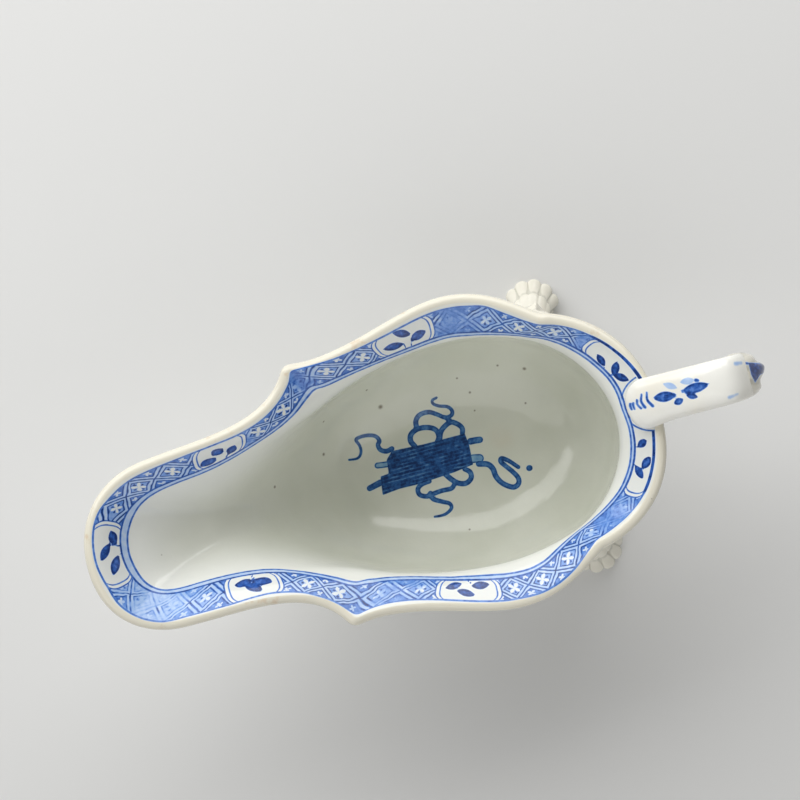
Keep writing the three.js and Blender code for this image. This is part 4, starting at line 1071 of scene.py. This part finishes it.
# Brush work on the top, in plan: dark leaves, pale petals and the hatched strokes by the root
TOP_LEAVES = [
    (63.8, 2.2, 70.2, 1.5, 2.9), (71.7, 2.1, 79.5, 2.2, 2.8), (68.9, -0.8, 71.7, -0.1, 1.9),
    (72.6, 0.9, 75.6, -0.6, 1.7),
]
TOP_PETALS = [(67.5, 5.6, 70.9, 3.3, 1.8), (71.9, 4.8, 76.1, 4.3, 2.0)]
TOP_STROKES = [
    ([(57.6, 2.2), (57.4, 1.4), (57.6, 0.6)], 0.6, 0.45),
    ([(58.4, 2.2), (58.2, 1.4), (58.4, 0.5)], 0.55, 0.4),
    ([(59.6, 2.9), (59.4, 1.5), (60.1, 0.2)], 0.45, 0.5),
    ([(61.2, 4.1), (60.6, 2.2), (61.2, 0.2)], 0.4, 0.7),
    ([(62.7, 4.3), (62.3, 2.1), (63.3, 0.1)], 0.4, 0.75),
    ([(76.2, 4.2), (76.5, 4.1), (76.7, 4.0)], 0.9, 0.7),
    ([(67.2, 1.8), (68.4, 1.7), (69.4, 1.6)], 1.3, 1.3),
    ([(64.2, 2.2), (66.5, 2.0), (70.0, 1.4)], 0.3, 0.5),
    ([(72.0, 2.1), (75.0, 2.3), (79.4, 2.2)], 0.8, 0.3),
]
FAINT_STROKES = [
    ([(83.9, -2.9), (85.2, -2.8), (86.4, -2.6)], 0.9, 0.5),
    ([(88.2, 5.8), (89.1, 5.7), (90.0, 5.6)], 1.1, 0.9),
]
upper = (strap_grid[..., 2] > middle[:, None, 2]) & (shares < 0.4)[:, None]
strap_x, strap_y = strap_grid[..., 0], strap_grid[..., 1]


def on_top(field):
    """A field of the strap's upper side, empty elsewhere."""
    return np.where(upper, field, -9.0)


handle = closed_skin("sauceboat_handle", strap_grid, {
    "leaf": on_top(leaf_field(strap_x, strap_y, TOP_LEAVES)),
    "petal": on_top(leaf_field(strap_x, strap_y, TOP_PETALS)),
    "stroke": on_top(stroke_field(strap_x, strap_y, TOP_STROKES)),
    "faint": on_top(stroke_field(strap_x, strap_y, FAINT_STROKES)),
})

handle_glaze, tree, shader, place, skin = glazed("handle_glaze")
HANDLE_WHITE = (0.90, 0.895, 0.84)
HANDLE_CREAM = (0.86, 0.83, 0.73)
LEAF_EDGE, LEAF_MIDDLE, PETAL_WASH, STROKE_LOAD, FAINT_WASH = 0.86, 0.66, 0.19, 0.86, 0.2
FEW_SPECKS, HANDLE_RIPPLE = 0.5, 0.16
ground_colour = blend_of(tree, ramp_up(tree, skin.outputs["Cloud"], 0.4, 0.7), HANDLE_WHITE, HANDLE_CREAM)
leaf = read(tree, "leaf")
leaf_load = blend_of(tree, ramp_up(tree, leaf, 0.25, 0.9), LEAF_EDGE, LEAF_MIDDLE)
leaf_load = times(tree, ramp_up(tree, leaf, -0.2, 0.2), leaf_load)
petal_load = ramp_up(tree, read(tree, "petal"), -0.25, 0.25, 0.0, PETAL_WASH)
stroke_load = ramp_up(tree, read(tree, "stroke"), -0.25, 0.2, 0.0, STROKE_LOAD)
faint_load = ramp_up(tree, read(tree, "faint"), -0.5, 0.5, 0.0, FAINT_WASH)
paint_load = most_of(tree, leaf_load, petal_load, faint_load, stroke_load)
colour = painted_on(tree, ground_colour, paint_load, place)
finished(tree, shader, skin, colour, times(tree, skin.outputs["Speck"], FEW_SPECKS), HANDLE_RIPPLE)
handle.data.materials.append(handle_glaze)
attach(handle, "root")
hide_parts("handle")

# Thumb leaf.
# A lobed leaf pressed in a small mould and laid over the outer bend of the handle, so that the thumb
# holds the boat level. Its three lobes run along the strap; the middle one is painted at its end.

LEAF_THICKNESS = 2.6
LEAF_SIDES = 160
LEAF_START, LEAF_END = 0.345, 0.52
LEAF_JOINT = 0.15
leaf_shares, middle, out = strap_frame(LEAF_START, LEAF_END, 110, rounded_ends=True)
half_width, half_thickness = strap_sizes(leaf_shares)
place_on_leaf = (leaf_shares - leaf_shares[0]) / (leaf_shares[-1] - leaf_shares[0])
fullness = np.sqrt(1 - np.abs(2 * place_on_leaf - 1) ** 4)[:, None]
rise = smooth(np.clip(place_on_leaf / 0.6, 0, 1))[:, None]
angles = round_angles(LEAF_SIDES)
lobes = 0.5 - 0.5 * np.cos(3 * math.pi * (np.cos(angles) + 1))
crest = LEAF_THICKNESS * fullness * (0.12 + 0.88 * rise) * (1 - 0.36 * rise * (1 - lobes))
# The middle lobe stands out furthest
crest = crest + fullness * rise * (0.5 + 1.7 * np.exp(-((np.cos(angles) - 0.14) / 0.24) ** 2))
strap_half = half_thickness[:, None]
lift = np.where(np.sin(angles) > 0, strap_half + LEAF_JOINT + crest, strap_half * 0.2)
leaf_width = (half_width[:, None] - 0.5 + 0.8 * rise) * (0.7 + 0.3 * fullness)
leaf_grid = squared_ring(middle, out, angles, leaf_width, lift)
END_PATCH = np.array([
    (92.5, 5.0), (95.8, 4.1), (99.5, 3.4), (99.5, 0.9), (95.5, 0.8), (93.0, -0.9), (92.3, 1.6),
])
PATCH_FOOT, PATCH_MIDDLE, PATCH_SLOPE = 73, 2.9, 2.6
END_STROKES = [([(90.4, 5.5), (91.4, 5.2), (92.2, 4.9)], 0.5, 0.6)]
leaf_x, leaf_y = leaf_grid[..., 0], leaf_grid[..., 1]
end_mark = np.maximum(patch_field(leaf_x, leaf_y, END_PATCH), stroke_field(leaf_x, leaf_y, END_STROKES))
# Down the bend the painted end narrows to a point
past_foot = leaf_grid[..., 2] - PATCH_FOOT - PATCH_SLOPE * np.abs(leaf_y - PATCH_MIDDLE)
end_mark = np.minimum(end_mark, past_foot * 0.3)
leaf_upper = (np.sin(angles) > 0) & (leaf_grid[..., 2] > 70)
# The grooves between the lobes on top are marked hollow, to be painted grey as shade
thumb_leaf = closed_skin("sauceboat_thumb_leaf", leaf_grid, {
    "stroke": np.where(leaf_upper, end_mark, -9.0),
    "hollow": np.broadcast_to(1 - lobes, leaf_grid.shape[:2]) * (np.sin(angles) > 0),
})

relief_glaze, tree, shader, place, skin = glazed("relief_glaze")
RELIEF_WHITE = (0.76, 0.735, 0.64)
RELIEF_HOLLOW_SHADE = (0.58, 0.565, 0.485)
RELIEF_BROWN = (0.40, 0.33, 0.25)
MOST_HOLLOW_BROWN, RELIEF_RIPPLE = 0.7, 0.2
# Painted shade: the hollows of the relief are painted grey, and the deepest of them brown in patches
hollow = read(tree, "hollow")
ground_colour = blend_of(tree, ramp_up(tree, hollow, 0.15, 0.95), RELIEF_WHITE, RELIEF_HOLLOW_SHADE)
hollow_brown = ramp_up(tree, noise_at(tree, place, 4, 3.0), 0.45, 0.7, 0.0, MOST_HOLLOW_BROWN)
hollow_brown = times(tree, ramp_up(tree, hollow, 0.55, 1.2), hollow_brown)
ground_colour = blend_of(tree, hollow_brown, ground_colour, RELIEF_BROWN)
colour = painted_on(tree, ground_colour, ramp_up(tree, read(tree, "stroke"), -0.25, 0.2), place)
finished(tree, shader, skin, colour, times(tree, skin.outputs["Speck"], FEW_SPECKS), RELIEF_RIPPLE)
thumb_leaf.data.materials.append(relief_glaze)
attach(thumb_leaf, "root")
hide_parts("thumb_leaf")

# Feet.
# Three paw feet pressed solid in a two-part mould and luted under the body: a round hip, a thin ankle
# and a spread paw with five toes. The hollows between the toes are painted grey as shade.

# Each foot: the place of its hip, the way its toes point in degrees from +X, and its height
FEET = {
    "front": ((-41.0, 0.0), 180, 35.73),
    "left": ((37.40, 26.85), 68, 39.0),
    "right": ((37.25, -28.87), -68, 39.0),
}
HIP_HEIGHT = 31.0
PAW_HEIGHT = 8.5
TOE_SPREAD = 33
TOE_SWELL = 1.5
SEAT = 1.2
FOOT_SIDES = 180
FOOT_SLICES = 110


def leg_levels(top):
    """Heights of the leg, and there: how far out, half its depth, half its width, share of the toes."""
    paw, ankle, hip, stance = 7.3, 5.0, 7.25, 12.6
    return np.array([
        [0, stance, paw - 0.8, paw - 0.8, 0.7],
        [PAW_HEIGHT * 0.35, stance, paw, paw, 1],
        [PAW_HEIGHT, stance * 0.84, paw * 0.78, paw * 0.78, 0.3],
        [PAW_HEIGHT * 1.5, stance * 0.42, ankle, ankle, 0],
        [PAW_HEIGHT * 2.3, stance * 0.2, ankle * 1.05, ankle, 0],
        [HIP_HEIGHT * 0.8, hip * 0.08, hip, hip * 0.95, 0],
        [HIP_HEIGHT, 0, hip, hip, 0],
        [top, -hip * 0.14, hip * 0.55, hip * 0.6, 0],
    ])


def sizes_at(levels, heights):
    """Sizes at heights, going smoothly from one level to the next."""
    i = np.clip(np.searchsorted(levels[:, 0], heights, side="left") - 1, 0, len(levels) - 2)
    t = smooth((heights - levels[i, 0]) / (levels[i + 1, 0] - levels[i, 0]))[:, None]
    return levels[i, 1:] + (levels[i + 1, 1:] - levels[i, 1:]) * t


outer_skin = (inner + facing * WALL)[::2, ::4].reshape(-1, 3)
outer_facing = facing[::2, ::4].reshape(-1, 3)


def seated(points, sink):
    """Points that would stand inside the body are drawn to a depth under its outer surface: each moves
    along the facing of the nearest places on that surface, weighed by their distance."""
    flat = points.reshape(-1, 3).copy()
    near = np.min(np.abs(outer_skin[:, None, :] - flat[None, ::97, :]).max(axis=2), axis=1) < 18
    skin_points, skin_facing = outer_skin[near], outer_facing[near]
    for start in range(0, len(flat), 2000):
        chunk = flat[start:start + 2000]
        gaps = np.sum((chunk[:, None, :] - skin_points[None]) ** 2, axis=2)
        weights = np.exp((gaps.min(axis=1, keepdims=True) - gaps) / 4)
        weights /= weights.sum(axis=1, keepdims=True)
        there, facing_there = weights @ skin_points, unit(weights @ skin_facing)
        lift = np.maximum(0, -sink - np.sum((chunk - there) * facing_there, axis=1))
        flat[start:start + 2000] = chunk + facing_there * lift[:, None]
    return flat.reshape(points.shape)


def hollow_field(grid, reach, full):
    """How hollow each place is: how far the mean of its neighbours stands out of the surface."""
    middle = (np.roll(grid, reach, 1) + np.roll(grid, -reach, 1)) / 2
    rows = np.arange(len(grid))
    below, above = grid[np.maximum(rows - reach, 0)], grid[np.minimum(rows + reach, len(grid) - 1)]
    middle = (middle + (below + above) / 2) / 2
    normal = unit(np.cross(np.gradient(grid, axis=0), np.roll(grid, -1, 1) - np.roll(grid, 1, 1)))
    centre = grid.mean(axis=(0, 1))
    if np.sum(normal * (grid - centre)) < 0:
        normal = -normal
    return np.clip(np.sum((middle - grid) * normal, axis=2) / full, 0, 1.5)


def ramp_share(values, low, high):
    """0 at low, 1 at high, straight between."""
    return np.clip((values - low) / (high - low), 0, 1)


for foot_name, (foot_root, foot_turn, foot_top) in FEET.items():
    shares = np.linspace(0, 1, FOOT_SLICES)
    heights = foot_top * (0.65 * shares + 0.35 * shares ** 2)
    foot_out, foot_deep, foot_wide, toe_share = sizes_at(leg_levels(foot_top), heights).T[:, :, None]
    angles = round_angles(FOOT_SIDES, -math.pi)
    from_toes = np.min([np.abs(angles - math.radians(TOE_SPREAD * k)) for k in range(-2, 3)], axis=0)
    toes = np.sqrt(np.maximum(0, 1 - (from_toes / math.radians(TOE_SPREAD * 0.53)) ** 2))
    knuckle = 1 + 0.22 * np.cos((heights[:, None] - 2.2) / PAW_HEIGHT * 2 * math.pi * 1.25)
    swell = TOE_SWELL * toe_share * toes * knuckle
    along = foot_out + (foot_deep + swell) * np.cos(angles)
    side = (foot_wide + swell) * np.sin(angles)
    turn = math.radians(foot_turn)
    leg = np.stack([
        foot_root[0] + along * math.cos(turn) - side * math.sin(turn),
        foot_root[1] + along * math.sin(turn) + side * math.cos(turn),
        np.broadcast_to(heights[:, None], along.shape),
    ], axis=-1)
    leg = seated(leg, SEAT)
    on_paw = ramp_share(heights[:, None], PAW_HEIGHT * 1.7, PAW_HEIGHT * 1.1)
    # The hollows between the toes are marked, to be painted grey as shade
    foot = closed_skin(f"{foot_name}_foot", leg, {
        "hollow": hollow_field(leg, 4, 0.1) * on_paw,
        "stroke": np.full(leg.shape[:2], -9.0),
    })
    foot.data.materials.append(relief_glaze)
    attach(foot, "root")
    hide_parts(f"{foot_name}_paw_foot")

# Lion masks.
# Lion faces pressed in shallow moulds and luted over the hips of the feet: muzzle, brow, cheeks and a
# ring of mane locks, with their hollows painted grey as shade.

MASK_WIDTH = 16.0
MASK_HEIGHT = 18.0
MASK_DEPTH = 5.5
MANE_RELIEF = 1.4
MANE_AT = 0.86
MANE_LOCKS = 11
MASK_SIDES = 220
MASK_TILT = 8
MASK_BELOW_HIP, MASK_OUT = 2.5, 5.6


def lump(side, height, at_side, at_height, wide, tall):
    """A soft lump of height 1: exp(-(distance in widths)^2)."""
    return np.exp(-((side - at_side) / wide) ** 2 - ((height - at_height) / tall) ** 2)


def face_relief(side, height):
    """Relief of the face as a share of the mask's depth; side and height go from -1 to 1. Raised lumps for
    muzzle, jowls, bridge, nose, brows, eyes, forehead and cheeks, less those for the sockets and mouth."""
    away = np.abs(side)
    raised = (
        0.34 * lump(away, height, 0, -0.36, 0.42, 0.3)
        + 0.1 * lump(away, height, 0.2, -0.44, 0.16, 0.18)
        + 0.2 * lump(away, height, 0, 0.02, 0.14, 0.36)
        + 0.16 * lump(away, height, 0, -0.2, 0.17, 0.1)
        + 0.22 * lump(away, height - 0.3 * away, 0.3, 0.22, 0.24, 0.12)
        + 0.1 * lump(away, height, 0.3, 0.1, 0.08, 0.07)
        + 0.14 * lump(away, height, 0.16, 0.6, 0.2, 0.2)
        + 0.12 * lump(away, height, 0.52, -0.14, 0.15, 0.2)
    )
    sockets = 0.26 * lump(away, height, 0.3, 0.09, 0.17, 0.11)
    mouth = 0.28 * lump(away, height, 0, -0.62, 0.3, 0.07)
    return raised - sockets - mouth


front_t = np.linspace(0.01, 1, 80)
back_t = np.linspace(1, 1.98, 20)[1:]
polar = (np.concatenate([front_t, back_t]) * math.pi / 2)[:, None]
is_front = polar <= math.pi / 2 + 1e-9
radius = np.sin(polar)
angles = round_angles(MASK_SIDES)
face_side, face_height = radius * np.sin(angles), radius * np.cos(angles)
# The mane: a ring of locks that lean round, each with the eye of its curl sunk in the middle
mane_radius = np.where(is_front, radius, 2 - radius) - MANE_AT
lock_turn = MANE_LOCKS / 2 * angles + 2.4 * (radius - 0.88)
lock_ring = np.sqrt(np.maximum(0, 1 - (mane_radius / 0.2) ** 2))
curl_eye = np.exp(-(mane_radius / 0.05) ** 2 - (np.sin(lock_turn) / 0.2) ** 2)
lock = np.abs(np.cos(lock_turn)) ** 0.7 * lock_ring - 0.3 * curl_eye
face = np.where(is_front, face_relief(face_side, face_height) * MASK_DEPTH, 0)
mask_out = (MASK_DEPTH * 0.8 + MANE_RELIEF * lock) * np.cos(polar) + face
spread = 1 + MANE_RELIEF * lock / MASK_WIDTH

for foot_name, (foot_root, foot_turn, foot_top) in FEET.items():
    turn, tilt = math.radians(foot_turn), math.radians(MASK_TILT)
    flat = heading(foot_turn)
    straight = flat * math.cos(tilt) + UP * math.sin(tilt)
    aside = np.array([-math.sin(turn), math.cos(turn), 0])
    upright = np.cross(straight, aside)
    centre = np.array([foot_root[0], foot_root[1], HIP_HEIGHT - MASK_BELOW_HIP]) + flat * MASK_OUT
    head = (
        centre
        + straight * mask_out[..., None]
        + aside * (face_side * spread * MASK_WIDTH / 2)[..., None]
        + upright * (face_height * spread * MASK_HEIGHT / 2)[..., None]
    )
    # The hollows of face and mane are marked, to be painted grey as shade
    hollow = hollow_field(head, 3, 0.06)
    head = seated(head, SEAT)
    mask = closed_skin(f"{foot_name}_mask", head, {
        "hollow": hollow,
        "stroke": np.full(head.shape[:2], -9.0),
    })
    mask.data.materials.append(relief_glaze)
    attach(mask, "root")
    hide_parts(f"{foot_name}_lion_mask")

# Floor, lamps and camera.
# A pale matt table under soft studio light: a large soft box beyond the boat, a weaker one on the near
# side, and a little light from all round. The camera looks straight down, as the picture is taken.

FLOOR_PALE = (0.72, 0.72, 0.71)
AIR_TINT = (1.0, 0.99, 0.95)
AIR_LIGHT, AIR_SEEN = 0.12, 0.8
WINDOW_WATTS, FILL_WATTS = 14.2, 8.0
CAMERA_FOOT = np.array([-6.46, 20.7, 790.0])
CAMERA_LENS = 110.1
CAMERA_TURN = -15.1
bpy.ops.mesh.primitive_plane_add(size=6, location=(0, 0, 0))
floor = bpy.context.object
floor.name = "studio_table"
table_cloth = bpy.data.materials.new("studio_table")
table_cloth.use_nodes = True
table_shader = table_cloth.node_tree.nodes["Principled BSDF"]
table_shader.inputs["Base Color"].default_value = (*FLOOR_PALE, 1)
table_shader.inputs["Roughness"].default_value = 0.8
floor.data.materials.append(table_cloth)

world = bpy.data.worlds.new("studio_air")
bpy.context.scene.world = world
world.use_nodes = True
air = world.node_tree
sky = air.nodes["Background"]
seen = put(air, "ShaderNodeLightPath")
looked = most_of(air, seen.outputs["Is Camera Ray"], seen.outputs["Is Transmission Ray"])
air.links.new(blend_of(air, looked, AIR_LIGHT, AIR_SEEN), sky.inputs["Strength"])
sky.inputs["Color"].default_value = (*AIR_TINT, 1)

# Ways on the table that are up and to the right in the picture
picture_up = np.array([0.2605, 0.9655, 0])
picture_right = np.array([0.9655, -0.2605, 0])


def lamp(name, place, size, watts):
    """A soft box that looks at the boat."""
    light = bpy.data.lights.new(name, "AREA")
    light.shape = "RECTANGLE"
    light.size, light.size_y = size
    light.energy = watts
    made = bpy.data.objects.new(name, light)
    made.location = place
    aim = UP * 0.05 - place
    tip = math.atan2(math.hypot(aim[0], aim[1]), -aim[2])
    made.rotation_euler = (tip, 0, math.atan2(aim[1], aim[0]) - math.pi / 2)
    bpy.context.scene.collection.objects.link(made)


lamp("window_box", picture_up * 0.72 - picture_right * 0.3 + UP * 0.54, (1.7, 0.9), WINDOW_WATTS)
lamp("front_fill", -picture_up * 0.8 + UP * 0.72, (1.9, 1.3), FILL_WATTS)

camera_data = bpy.data.cameras.new("plan_camera")
camera_data.sensor_width = 36
camera_data.lens = CAMERA_LENS
camera = bpy.data.objects.new("plan_camera", camera_data)
camera.location = placed(CAMERA_FOOT)
camera.rotation_euler = (0, 0, math.radians(CAMERA_TURN))
bpy.context.scene.collection.objects.link(camera)
bpy.context.scene.camera = camera
bpy.context.scene.view_settings.view_transform = "Standard"
